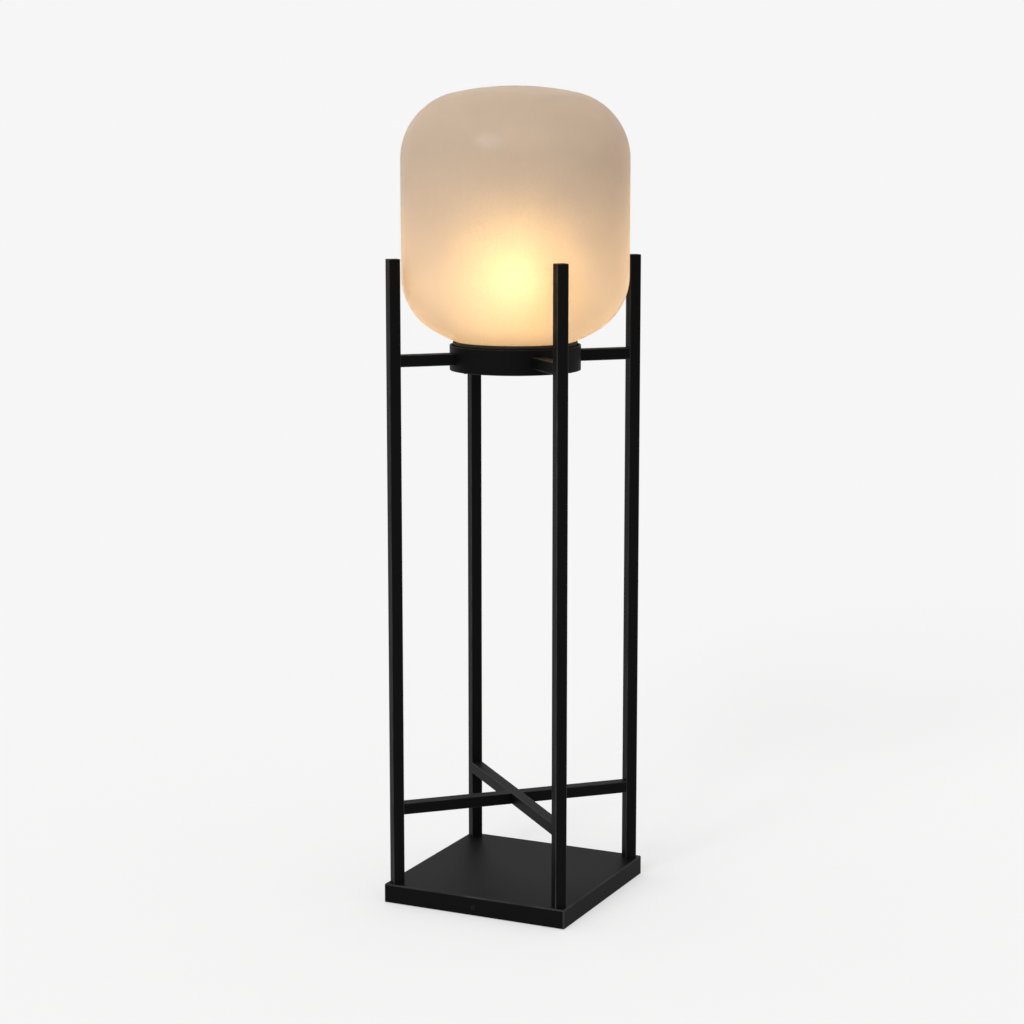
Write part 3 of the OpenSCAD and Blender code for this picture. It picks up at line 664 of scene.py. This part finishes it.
def cap_metal():
    """Rolled aluminium of the bulb's cap and contact."""
    material, tree, shader = new_finish("rolled_aluminium", (0.72, 0.73, 0.74), 0.28, metallic=1.0)
    soft = effect(tree, HANDLING, Scale=140, Contrast=1.0)["Mask"]
    vary_colour(tree, shader, soft, (0.66, 0.67, 0.69), (0.78, 0.78, 0.77))
    vary_roughness(tree, shader, soft, 0.2, 0.36)
    raise_surface(tree, shader, effect(tree, TURNED, Scale=3600, Breakup=0.2)["Height"], 0.1, 0.0002)
    return material


def stem_glass():
    """Clear glass of the bulb's stem, faintly green."""
    material, tree, shader = new_finish("clear_stem_glass", (0.9, 0.95, 0.92), 0.04, ior=1.5)
    shader.inputs["Transmission Weight"].default_value = 1.0
    raise_surface(tree, shader, effect(tree, HANDLING, Scale=160)["Mask"], 0.1, 0.0004)
    return material


def filament():
    """Glowing coat of the light filaments, in small granules."""
    material, tree, shader = new_finish("lit_filament", (1.0, 0.85, 0.5), 0.7)
    grain = effect(tree, GRAIN, Scale=1800, Softness=0.6)
    glow = mixed(tree, grain["Speckle"], (1.0, 0.72, 0.36), (1.0, 0.55, 0.2))
    tree.links.new(glow, shader.inputs["Emission Color"])
    shader.inputs["Emission Strength"].default_value = 6.0
    raise_surface(tree, shader, grain["Height"], 0.4, 0.0002)
    return material


def show_mix(tree, share, first, second):
    """Shows a mix of two shaders on the material's surface, with a share of the second."""
    mix = tree.nodes.new("ShaderNodeMixShader")
    for socket, source in zip(mix.inputs, (share, first, second)):
        tree.links.new(source, socket)
    tree.links.new(mix.outputs["Shader"], tree.nodes["Material Output"].inputs["Surface"])


def light_passes(tree, shader, tint):
    """Lets the bulb's light out through a glass: shadow rays see it as clear, tinted film."""
    clear = node(tree, "BsdfTransparent", Color=(*tint, 1))
    path = node(tree, "LightPath").outputs["Is Shadow Ray"]
    show_mix(tree, path, shader.outputs["BSDF"], clear.outputs["BSDF"])


def bulb_glass():
    """Frosted glass of the lit globe: bright from its middle up, dim at its neck."""
    material, tree, shader = new_finish("lit_globe", (1.0, 0.93, 0.8), 0.5, ior=1.45)
    where = object_place(tree)
    height = node(tree, "SeparateXYZ", Vector=where).outputs["Z"]
    warm = spread(tree, height, GLOBE_HIGH - 2.6 * GLOBE_RADIUS, GLOBE_HIGH - GLOBE_RADIUS, 0, 1)
    glow = mixed(tree, warm, (0.10, 0.05, 0.012), (1.0, 0.74, 0.3))
    tree.links.new(glow, shader.inputs["Emission Color"])
    shader.inputs["Emission Strength"].default_value = BULB_STRENGTH
    raise_surface(tree, shader, effect(tree, GRAIN, Scale=2400)["Height"], 0.2, 0.0002)
    return material


def frosted_glass():
    """Warm beige frosted glass, with a faint glow painted on low down; clearer pits show the bulb, duller
    ones its halo.
    """
    material, tree, shader = new_finish("frosted_beige_glass", SHADE_COLOUR, SHADE_DULLER, ior=1.5)
    grain = effect(tree, GRAIN, Scale=1700, Softness=0.55)
    veil = effect(tree, HANDLING, Scale=14, Contrast=0.7)["Mask"]
    pale = tuple(min(1.0, 1.06 * c) for c in SHADE_COLOUR)
    deep = tuple(0.95 * c for c in SHADE_COLOUR)
    vary_colour(tree, shader, veil, deep, pale)
    where = object_place(tree)
    etch = node(tree, "TexNoise", Vector=where, Scale=4000, Detail=1)
    pits = spread(tree, etch.outputs["Fac"], *SHADE_PITS, SHADE_CLEARER, SHADE_DULLER)
    tree.links.new(pits, shader.inputs["Roughness"])
    shader.inputs["Transmission Weight"].default_value = SHADE_TRANSMISSION
    # Painted light: a warm glow painted into the glass's emission, full low down by the bulb and gone higher
    # up
    height = node(tree, "SeparateXYZ", Vector=where).outputs["Z"]
    ranges = {"From_Min": PAINTED_GLOW_FULL_Z, "From_Max": PAINTED_GLOW_GONE_Z, "To_Min": 1.0, "To_Max": 0.0}
    lit = node(tree, "MapRange", {"interpolation_type": "SMOOTHSTEP"}, Value=height, **ranges)
    glow = mixed(tree, lit.outputs["Result"], (0.0, 0.0, 0.0), (1.0, 0.64, 0.28))
    tree.links.new(glow, shader.inputs["Emission Color"])
    shader.inputs["Emission Strength"].default_value = PAINTED_SHADE_GLOW
    raise_surface(tree, shader, grain["Height"], 0.05, 0.0002)
    light_passes(tree, shader, (0.5, 0.36, 0.22))
    return material


FINISHES = {
    "black_paint": black_paint(),
    "plate_steel": plate_steel(),
    "ballast_iron": ballast_iron(),
    "zinc_steel": zinc_steel(),
    "black_screws": black_screws(),
    "rubber": rubber(),
    "terminal_plastic": moulded_plastic("ivory_plastic", (0.66, 0.63, 0.55), (0.80, 0.78, 0.72), 0.4),
    "brass": brass(),
    "lead_brown": moulded_plastic("brown_sleeve", (0.10, 0.04, 0.018), (0.16, 0.065, 0.03), 0.45),
    "lead_blue": moulded_plastic("blue_sleeve", (0.02, 0.085, 0.28), (0.035, 0.12, 0.37), 0.45),
    "lead_green": striped_sleeve(),
    "holder_plastic": holder_plastic(),
    "ceramic": ceramic(),
    "cap_metal": cap_metal(),
    "insulator_glass": moulded_plastic("dark_fused_glass", (0.014, 0.01, 0.022), (0.03, 0.022, 0.045), 0.16),
    "stem_glass": stem_glass(),
    "bulb_glass": bulb_glass(),
    "filament": filament(),
    "frosted_glass": frosted_glass(),
}

for row in frame["record"]["subparts"]:
    for material_slot in frame["nodes"][row["node"]].material_slots:
        material_slot.material = FINISHES[row["material_slot"]]


# ---------- base ----------

SHEET = 1.5 * MM
FOLD = 2 * MM
ROD_HOLE = 5.3 * MM
SIDE_HOLE = 3.3 * MM
GROMMET_NECK = 5.5 * MM


def way_to(corner):
    """Unit vector from the middle towards a corner."""
    angle = math.radians(CORNERS[corner])
    return Vector((math.cos(angle), math.sin(angle), 0))


def make_cover():
    """Folded sheet cover, open below, with holes for rods, side screws and grommet."""
    half, inset = BASE_HALF, 3 * MM
    cover = box("cover", (-half, -half, BASE_LOW), (half, half, BASE_TOP))
    open_mesh(cover)
    pick("EDGE", lambda edge, spot: spot.z > BASE_LOW + MM)
    round_edges(FOLD, segments=4)
    pick_faces_facing((0, 0, -1))
    bpy.ops.mesh.delete(type="FACE")
    close_mesh()
    apply_modifier(cover, "SOLIDIFY", thickness=SHEET, offset=-1, use_even_offset=True)
    for corner in CORNERS:
        foot_of_leg = way_to(corner) * LEG_DISTANCE + Vector((0, 0, BASE_TOP - inset))
        drill(cover, ROD_HOLE, foot_of_leg, (0, 0, 1), 2 * inset)
    for quarter in range(4):
        way = Matrix.Rotation(quarter * math.pi / 2, 3, "Z") @ Vector((1, 0, 0))
        side = way * (half - inset) + Vector((0, 0, SCREW_Z))
        drill(cover, SIDE_HOLE, side, way, 2 * inset)
    drill(cover, GROMMET_NECK, (GROMMET_X, half - inset, SCREW_Z), (0, 1, 0), 2 * inset)
    return finished(cover, "black_paint", "frame", "base_cover")


def make_side_screws():
    """Socket set screws, one in the middle of each side, sunk a little below the cover's face."""
    radius, length, sink = 3 * MM, 8 * MM, 0.6 * MM
    hexagon = 1.5 * MM / math.cos(math.radians(30))
    rounded_end = rounded([(0, 0), (radius, 0), (radius, length), (0, length)], 0.5 * MM)
    screw = lathe("side_screw", rounded_end, steps=32)
    drill(screw, hexagon, (0, 0, length + MM), (0, 0, -1), 4 * MM, sides=6)
    place(screw, move=(0, 0, -length))
    place(screw, move=(BASE_HALF - sink, 0, SCREW_Z), turn=(0, 90, 0))
    screws = joined(copied_round(screw, 4), "side_screw_set")
    return finished(screws, "black_screws", "frame", "side_screws")


def make_grommet():
    """Rubber grommet of the mains lead: two rounded flanges and a neck, with a bore."""
    bore, neck, flange, thickness = 3.6 * MM, GROMMET_NECK, 7 * MM, 1.2 * MM
    lips = [
        (bore, -thickness),
        (flange, -thickness),
        (flange, 0),
        (neck, 0),
        (neck, SHEET),
        (flange, SHEET),
        (flange, SHEET + thickness),
        (bore, SHEET + thickness),
    ]
    grommet = lathe("grommet", rounded(lips, 0.5 * MM), steps=48)
    place(grommet, move=(GROMMET_X, BASE_HALF - SHEET, SCREW_Z), turn=(-90, 0, 0))
    return finished(grommet, "rubber", "frame", "cord_grommet")


def make_feet():
    """Push-in rubber feet: pad, neck and barb."""
    proud, pad, chamfer, neck, barb = BASE_LOW, 11 * MM, 0.6 * MM, 4.4 * MM, 5.6 * MM
    top = proud + SHEET
    tip = top + 2.5 * MM
    outline = [(0, 0), (pad - chamfer, 0), (pad, chamfer), (pad, proud), (neck, proud), (neck, top)]
    outline += [(barb, top), (3.6 * MM, tip), (0, tip)]
    foot = lathe("rubber_foot", outline, steps=48)
    open_mesh(foot)
    pick("EDGE", lambda edge, spot: abs(spot.z) < CLOSE and abs(spot.xy.length - pad + chamfer) < 0.1 * MM)
    round_edges(0.2 * MM, segments=2)
    close_mesh()
    for name in ("foot_back_right", "foot_back_left", "foot_front_left", "foot_front_right"):
        centre = middle(name)
        pad_here = place(copy_of(foot, "rubber_" + name), move=(centre.x, centre.y, 0))
        finished(pad_here, "rubber", "frame", name)
    bpy.data.objects.remove(foot)


# ---------- legs, braces and arms ----------

# Hole for the leads through the back leg and the ring, and the ring's sides on the lathe
WIRE_Z = ARM_Z - 3 * MM
WIRE_HOLE = 4 * MM
RING_STEPS = 144


def square_tube(name, length):
    """Square tube along X from 0, with rounded corners and open ends."""
    half = TUBE / 2
    tube = box(name, (0, -half, -half), (length, half, half))
    open_mesh(tube)
    pick_edges_along(0)
    round_edges(TUBE_CORNER, segments=4)
    for end in (1, -1):
        pick_faces_facing((end, 0, 0))
        bpy.ops.mesh.delete(type="FACE")
    close_mesh()
    apply_modifier(tube, "SOLIDIFY", thickness=TUBE_WALL, offset=-1, use_even_offset=True)
    return tube


def at_corners(model, name, node_name):
    """Finishes a painted copy of a model at each corner, and takes the model away."""
    for corner, angle in CORNERS.items():
        piece = place(copy_of(model, name + corner), turn=(0, 0, angle))
        finished(piece, "black_paint", "frame", node_name + corner)
    bpy.data.objects.remove(model)


def make_legs():
    """Four tube legs; the back one has a hole for the leads."""
    bottom, top = low("leg_front", 2), high("leg_front", 2)
    upright = square_tube("tube_leg", top - bottom)
    place(upright, move=(LEG_DISTANCE, 0, bottom), turn=(0, -90, 0))
    for corner, angle in CORNERS.items():
        leg = copy_of(upright, "tube_leg_" + corner)
        if corner == "back":
            drill(leg, WIRE_HOLE, (LEG_FACE - 2 * MM, 0, WIRE_Z), (1, 0, 0), 5 * MM)
        place(leg, turn=(0, 0, angle))
        finished(leg, "black_paint", "frame", "leg_" + corner)
    bpy.data.objects.remove(upright)


def make_leg_caps():
    """Flat caps with softened edges, and their plugs inside the tubes."""
    half, flange, play = TUBE / 2, 2 * MM, 0.15 * MM
    plug = half - TUBE_WALL - play
    bottom, top = low("leg_cap_front", 2), high("leg_cap_front", 2)
    model = box("tube_cap", (-half, -half, top - flange), (half, half, top))
    open_mesh(model)
    pick_edges_along(2)
    round_edges(TUBE_CORNER, segments=4)
    pick("EDGE", lambda edge, spot: abs(spot.z - top) < CLOSE)
    round_edges(0.5 * MM, segments=3)
    pick_faces_facing((0, 0, -1))
    bpy.ops.mesh.inset(thickness=half - plug)
    pull((0, 0, bottom - top + flange))
    close_mesh()
    place(model, move=(LEG_DISTANCE, 0, 0))
    at_corners(model, "tube_cap_", "leg_cap_")


def make_braces():
    """Flat cross brace: one bar from leg to leg and two half bars that butt against it."""
    long_bar = square_tube("brace_bar_long", 2 * LEG_FACE)
    start = way_to("front") * -LEG_FACE + Vector((0, 0, BRACE_Z))
    place(long_bar, move=start, turn=(0, 0, CORNERS["front"]))
    finished(long_bar, "black_paint", "frame", "brace_long")
    for corner in ("left", "right"):
        half_bar = square_tube("brace_bar_" + corner, LEG_FACE - TUBE / 2)
        start = way_to(corner) * TUBE / 2 + Vector((0, 0, BRACE_Z))
        place(half_bar, move=start, turn=(0, 0, CORNERS[corner]))
        finished(half_bar, "black_paint", "frame", "brace_" + corner)


def make_arms():
    """Four short tube arms, their inner ends cut to the curve of the ring."""
    inner = RING_RADIUS - TUBE / 2
    model = square_tube("tube_arm", LEG_FACE - inner)
    place(model, move=(inner, 0, ARM_Z))
    drill(model, RING_RADIUS, (0, 0, RING_LOW), (0, 0, 1), RING_HIGH - RING_LOW, sides=RING_STEPS)
    at_corners(model, "tube_arm_", "arm_")


# ---------- ring and tray ----------

RING_WALL = 3 * MM
RING_INSIDE = RING_RADIUS - RING_WALL
LEDGE_INSIDE = RING_INSIDE - 13 * MM
UNDER_SCREWS = RING_INSIDE - 6 * MM
TRAY_SCREWS = (LEDGE_INSIDE + TRAY_RADIUS - SHEET) / 2
THREAD_HOLE = 2.05 * MM
CLEAR_HOLE = 2.3 * MM


def make_ring():
    """Flat band with the flange that carries the tray, three lugs below it, and the hole for the leads."""
    ledge_top, ledge_low = TRAY_LOW, TRAY_LOW - 3 * MM
    band = [
        (RING_INSIDE, RING_LOW),
        (RING_RADIUS, RING_LOW),
        (RING_RADIUS, RING_HIGH),
        (RING_INSIDE, RING_HIGH),
        (RING_INSIDE, ledge_top),
        (LEDGE_INSIDE, ledge_top),
        (LEDGE_INSIDE, ledge_low),
        (RING_INSIDE, ledge_low),
    ]
    ring = lathe("ring_band", rounded(band, 0.7 * MM), steps=RING_STEPS)
    drill_three(ring, THREAD_HOLE, -TRAY_SCREWS, ledge_low - MM, 5 * MM)
    back = way_to("back")
    drill(ring, WIRE_HOLE, back * (RING_INSIDE - MM) + Vector((0, 0, WIRE_Z)), back, 5 * MM)
    half, sunk, lug_high = 5 * MM, 0.5 * MM, RING_LOW + 11.5 * MM
    lowest = (UNDER_SCREWS - half, -half, RING_LOW + SHEET)
    lug = box("lug", lowest, (RING_INSIDE + sunk, half, lug_high))
    open_mesh(lug)
    pick_edges_along(2, lambda spot: spot.x < UNDER_SCREWS)
    round_edges(2 * MM, segments=4)
    close_mesh()
    drill(lug, THREAD_HOLE, (UNDER_SCREWS, 0, RING_LOW), (0, 0, 1), 20 * MM, sides=24)
    ring = joined([ring, *copied_round(lug, 3)], "ring_band")
    return finished(ring, "black_paint", "frame", "support_ring")


def make_under_plate():
    """Plate that closes the ring from below."""
    radius = high("ring_under_plate", 0)
    outline = [(0, RING_LOW), (radius, RING_LOW), (radius, RING_LOW + SHEET), (0, RING_LOW + SHEET)]
    plate = lathe("lower_plate", rounded(outline, 0.4 * MM), steps=RING_STEPS)
    drill_three(plate, CLEAR_HOLE, UNDER_SCREWS, RING_LOW - MM, 4 * MM)
    return finished(plate, "black_paint", "frame", "ring_under_plate")


def pan_screw(name, radius, height, length):
    """Slotted pan-head screw, head up from 0 and shank down."""
    shank, pitch, thread, edge, slot_half = 2 * MM, 0.7 * MM, 0.35 * MM, 0.3 * MM, 0.4 * MM
    outline = [(0, -length), (shank - 0.5 * MM, -length)]
    turns = int(length / pitch) - 1
    for i in range(turns):
        valley = -length + (i + 0.6) * pitch
        outline += [(shank - thread, valley), (shank, valley + pitch / 2)]
    outline += [(shank, 0), (radius - edge, 0), (radius, edge)]
    crown = arc((0, 0), 1, 0, 90, 6)
    outline += [(radius * x, edge + (height - edge) * z) for x, z in crown[1:-1]] + [(0, height)]
    screw = lathe(name, outline, steps=32)
    slot = box("slot", (-radius - MM, -slot_half, height / 2), (radius + MM, slot_half, height + MM))
    cut(screw, slot)
    return screw


def make_pan_screws():
    """Screws of the lower plate, heads down, and of the tray, heads up."""
    sets = (
        ("lower_plate_screw", "under_plate_screws", 3.75 * MM, 2 * MM, 8 * MM, UNDER_SCREWS, RING_LOW, 180),
        ("tray_screw", "tray_screws", 3 * MM, 1.6 * MM, 4 * MM, -TRAY_SCREWS, TRAY_LOW + SHEET, 0),
    )
    for name, node_name, radius, height, length, distance, seat_z, flip in sets:
        screw = pan_screw(name, radius, height, length)
        place(screw, move=(distance, 0, seat_z), turn=(flip, 0, 25))
        screws = joined(copied_round(screw, 3), name + "_set")
        finished(screws, "black_screws", "frame", node_name)


def make_tray():
    """Shallow spun tray with a rounded foot."""
    wall, floor_top = TRAY_RADIUS - SHEET, TRAY_LOW + SHEET
    outside, inside, edge = 2.5 * MM, 1 * MM, 0.3 * MM
    bend = (TRAY_RADIUS - outside, TRAY_LOW + outside)
    outline = [(0, TRAY_LOW), *arc(bend, outside, -90, 0, 6), (TRAY_RADIUS, TRAY_HIGH - edge)]
    outline += [(TRAY_RADIUS - edge, TRAY_HIGH), (wall + edge, TRAY_HIGH), (wall, TRAY_HIGH - edge)]
    outline += [*arc(bend, inside, 0, -90, 4), (0, floor_top)]
    tray = lathe("spun_tray", outline, steps=RING_STEPS)
    drill(tray, 5.1 * MM, (0, 0, TRAY_LOW - MM), (0, 0, 1), 4 * MM)
    drill_three(tray, CLEAR_HOLE, -TRAY_SCREWS, TRAY_LOW - MM, 4 * MM)
    return finished(tray, "black_paint", "frame", "shade_tray")


def make_seal():
    """Rubber seal on the rim of the tray: round bead above, two skirts that grip the sheet."""
    half, edge = SHEET / 2, 0.3 * MM
    bead, centre = half + MM, TRAY_RADIUS - half
    foot_z = low("rim_seal", 2)
    outline = [(centre - bead, foot_z + edge), *arc((centre, TRAY_HIGH), bead, 180, 0, 16)]
    outline += [(centre + bead, foot_z + edge), (centre + bead - edge, foot_z)]
    outline += [(centre + half, foot_z), (centre + half, TRAY_HIGH)]
    outline += [(centre - half, TRAY_HIGH), (centre - half, foot_z)]
    outline += [(centre - bead + edge, foot_z), (centre - bead, foot_z + edge)]
    seal = lathe("rim_bead", outline, steps=RING_STEPS)
    return finished(seal, "rubber", "frame", "rim_seal")


# ---------- lampholder and bulb ----------

RIBS = 36


def make_holder():
    """Lower cup with a coved foot, and the ribbed sleeve on top of it."""
    wall, bore, cove, floor, edge = 1.8 * MM, 5.05 * MM, 8 * MM, 4 * MM, 0.4 * MM
    outer, inner = HOLDER_RADIUS, HOLDER_RADIUS - wall
    seat = inner - 3 * MM
    foot_z, joint_z, step_z = HOLDER_LOW, high("holder_cup", 2), low("holder_core", 2)
    angles = [math.radians(15 * i) for i in range(7)]
    foot = [(outer - cove + cove * math.sin(a), foot_z + cove * (1 - math.cos(a))) for a in angles]
    outline = [(bore, foot_z), *foot, (outer, joint_z - edge), (outer - edge, joint_z), (inner, joint_z)]
    outline += [(inner, step_z), (seat, step_z), (seat, foot_z + 9 * MM)]
    outline += [(inner - cove, foot_z + floor), (bore, foot_z + floor), (bore, foot_z)]
    cup = lathe("holder_lower_cup", outline, steps=72)
    finished(cup, "holder_plastic", "frame", "holder_cup")

    mouth = middle("holder_screw_shell").x + high("holder_screw_shell", 0) + 0.3 * MM
    top, rim, rib_z = HOLDER_HIGH, 2 * MM, joint_z + 6 * MM
    skin = outer - 0.7 * MM
    outline = [(inner, joint_z), (outer - edge, joint_z), (outer, joint_z + edge), (outer, joint_z + 5 * MM)]
    outline += [(skin, rib_z), (skin, top - 3 * MM), *arc((skin - rim, top - rim), rim, 0, 90, 5)]
    outline += [(mouth + 0.6 * MM, top), (mouth, top - 0.6 * MM), (mouth, top - wall), (inner, top - wall)]
    outline += [(inner, joint_z)]
    sleeve = lathe("holder_sleeve", outline, steps=72)
    rib = box("rib", (skin - edge, -0.6 * MM, rib_z), (outer, 0.6 * MM, top - 4 * MM))
    open_mesh(rib)
    pick("EDGE", lambda side, spot: spot.x > skin)
    round_edges(edge, segments=2)
    close_mesh()
    sleeve = joined([sleeve, *copied_round(rib, RIBS)], "holder_sleeve")
    finished(sleeve, "holder_plastic", "frame", "holder_shell")


def make_bulb():
    """Lit globe with its neck, and the screw cap with its rolled thread."""
    wall = 1 * MM
    centre_z = GLOBE_HIGH - GLOBE_RADIUS
    neck_z, neck = low("bulb_globe", 2), high("bulb_cap", 0) + 0.4 * MM

    def side(inset):
        radius, throat = GLOBE_RADIUS - inset, neck - inset
        drop = centre_z - neck_z
        touch = math.degrees(math.atan2(-drop, throat) + math.acos(radius / math.hypot(throat, drop)))
        return [(0, centre_z + radius), *arc((0, centre_z), radius, 90, touch, 40)[1:], (throat, neck_z)]

    globe = lathe("globe", side(0) + side(wall)[::-1], steps=96)
    finished(globe, "bulb_glass", "bulb", "bulb_globe")

    cap_low, top, crest = low("bulb_cap", 2), high("bulb_cap", 2), high("bulb_cap", 0)
    depth, pitch, turns, steps = 0.8 * MM, 3.6 * MM, 4, 48
    inside, floor = crest - 1.3 * MM, cap_low + 1.2 * MM
    thread = []
    for i in range(steps + 1):
        turned = i / steps * turns
        sunk = depth * (0.5 + 0.5 * math.cos(turned * FULL_TURN))
        thread.append((crest - sunk, cap_low + 1.5 * MM + turned * pitch))
    outline = [(0, cap_low), (crest - 2.4 * MM, cap_low), (crest - 1.2 * MM, cap_low + 0.6 * MM), *thread]
    outline += [(crest - depth, top - 2.5 * MM), (crest, top - 1.4 * MM), (crest, top), (inside, top)]
    outline += [(inside, floor), (0, floor)]
    cap = lathe("screw_cap", outline, steps=72)
    finished(cap, "cap_metal", "bulb", "bulb_cap")


# ---------- glass ----------


def make_glass():
    """Frosted drum: shallow dome, round shoulder, short wall, round hip, and a bowl with a polished mouth."""
    radius, top = high("glass_shade", 0), high("glass_shade", 2)
    height, wall, mouth = 400 * MM, 2.5 * MM, 75 * MM
    crown, shoulder, hip, bowl = 430 * MM, 102 * MM, 96 * MM, 244 * MM
    crown_z, bowl_z = top - crown, top - height + bowl
    shoulder_x, hip_x = radius - shoulder, radius - hip
    shoulder_z = crown_z + math.sqrt((crown - shoulder) ** 2 - shoulder_x**2)
    hip_z = bowl_z - math.sqrt((bowl - hip) ** 2 - hip_x**2)
    crown_side = math.degrees(math.atan2(shoulder_z - crown_z, shoulder_x))
    bowl_side = math.degrees(math.atan2(hip_z - bowl_z, hip_x))
    mouth_edge = mouth + wall / 2

    def side(inset):
        mouth_side = -math.degrees(math.acos(mouth_edge / (bowl - inset)))
        outline = [(0, top - inset), *arc((0, crown_z), crown - inset, 90, crown_side, 16)[1:]]
        outline += arc((shoulder_x, shoulder_z), shoulder - inset, crown_side, 0, 32)[1:]
        outline += arc((hip_x, hip_z), hip - inset, 0, bowl_side, 24)
        outline += arc((0, bowl_z), bowl - inset, bowl_side, mouth_side, 10)[1:]
        return outline

    outer, inner = side(0), side(wall)
    start, end = Vector(outer[-1]), Vector(inner[-1])
    outwards = (start - end).normalized()
    across = Vector((-math.hypot(outwards.x, outwards.y), 0))
    lip, steps = [], 8
    for i in range(1, steps):
        angle = math.pi * i / steps
        out = outwards * wall / 2 * math.cos(angle)
        round_mouth = across * wall / 2 * math.sin(angle)
        lip.append(tuple((start + end) / 2 + out + round_mouth))
    drum = lathe("glass_drum", outer + lip + inner[::-1], steps=160)
    return finished(drum, "frosted_glass", "shade", "glass_shade")


make_cover()
make_side_screws()
make_grommet()
make_feet()
make_legs()
make_leg_caps()
make_braces()
make_arms()
make_ring()
make_under_plate()
make_pan_screws()
make_tray()
make_seal()
make_holder()
make_bulb()
make_glass()


# ---------- studio and camera ----------

# A pale room: the world and the floor show the same grey-white, and a broad weak sun draws the shadow
BACKDROP = 0.9216
FLOOR_COLOUR = (0.8, 0.8, 0.8)
FLOOR_REACH = 400
FLOOR_VEIL = 0.5
SUN_ELEVATION = 32
SUN_AZIMUTH = -4
SUN_SPREAD = 26


def make_world():
    """Even light from everywhere."""
    world = bpy.data.worlds.new("pale_room")
    world.use_nodes = True
    background = world.node_tree.nodes["Background"]
    background.inputs["Color"].default_value = (BACKDROP, BACKDROP, BACKDROP, 1)
    background.inputs["Strength"].default_value = 1.0
    bpy.context.scene.world = world


def make_sun():
    """Weak broad sun from the front left; with it the open floor is as pale as the backdrop."""
    missing = BACKDROP / FLOOR_COLOUR[0] - BACKDROP
    light = bpy.data.lights.new("broad_sun", "SUN")
    light.energy = missing * math.pi / math.sin(math.radians(SUN_ELEVATION))
    light.angle = math.radians(SUN_SPREAD)
    lamp = bpy.data.objects.new("broad_sun", light)
    bpy.context.collection.objects.link(lamp)
    lamp.rotation_euler = (math.radians(90 - SUN_ELEVATION), 0, math.radians(SUN_AZIMUTH))


def make_floor():
    """Pale floor that carries the shadow; eye, gloss and glass see it partly in the backdrop's tone."""
    unselect()
    bpy.ops.mesh.primitive_plane_add(size=2 * FLOOR_REACH)
    floor = bpy.context.object
    floor.name = "pale_floor"
    material, tree, shader = new_finish("pale_floor", FLOOR_COLOUR, 1.0)
    shader.inputs["Specular IOR Level"].default_value = 0.0
    pale = node(tree, "Emission", Color=(BACKDROP, BACKDROP, BACKDROP, 1), Strength=1.0)
    path = node(tree, "LightPath").outputs
    seen = maths(tree, "MAXIMUM", path["Is Camera Ray"], path["Is Glossy Ray"])
    seen = maths(tree, "MAXIMUM", seen, path["Is Transmission Ray"])
    seen = maths(tree, "MULTIPLY", seen, FLOOR_VEIL)
    show_mix(tree, seen, shader.outputs["BSDF"], pale.outputs["Emission"])
    floor.data.materials.append(material)


def make_camera():
    """Camera at the photograph's place."""
    distance, azimuth, height = 3.6566, math.radians(25.219), 1.1947
    heading, pitch = 25.298, 9.226
    data = bpy.data.cameras.new("camera")
    data.sensor_width = 36
    data.lens = 84.69
    camera = bpy.data.objects.new("camera", data)
    bpy.context.collection.objects.link(camera)
    camera.location = (distance * math.sin(azimuth), -distance * math.cos(azimuth), height)
    camera.rotation_euler = (math.radians(90 - pitch), 0, math.radians(heading))
    bpy.context.scene.camera = camera


make_world()
make_sun()
make_floor()
make_camera()
bpy.context.scene.view_settings.view_transform = "Standard"
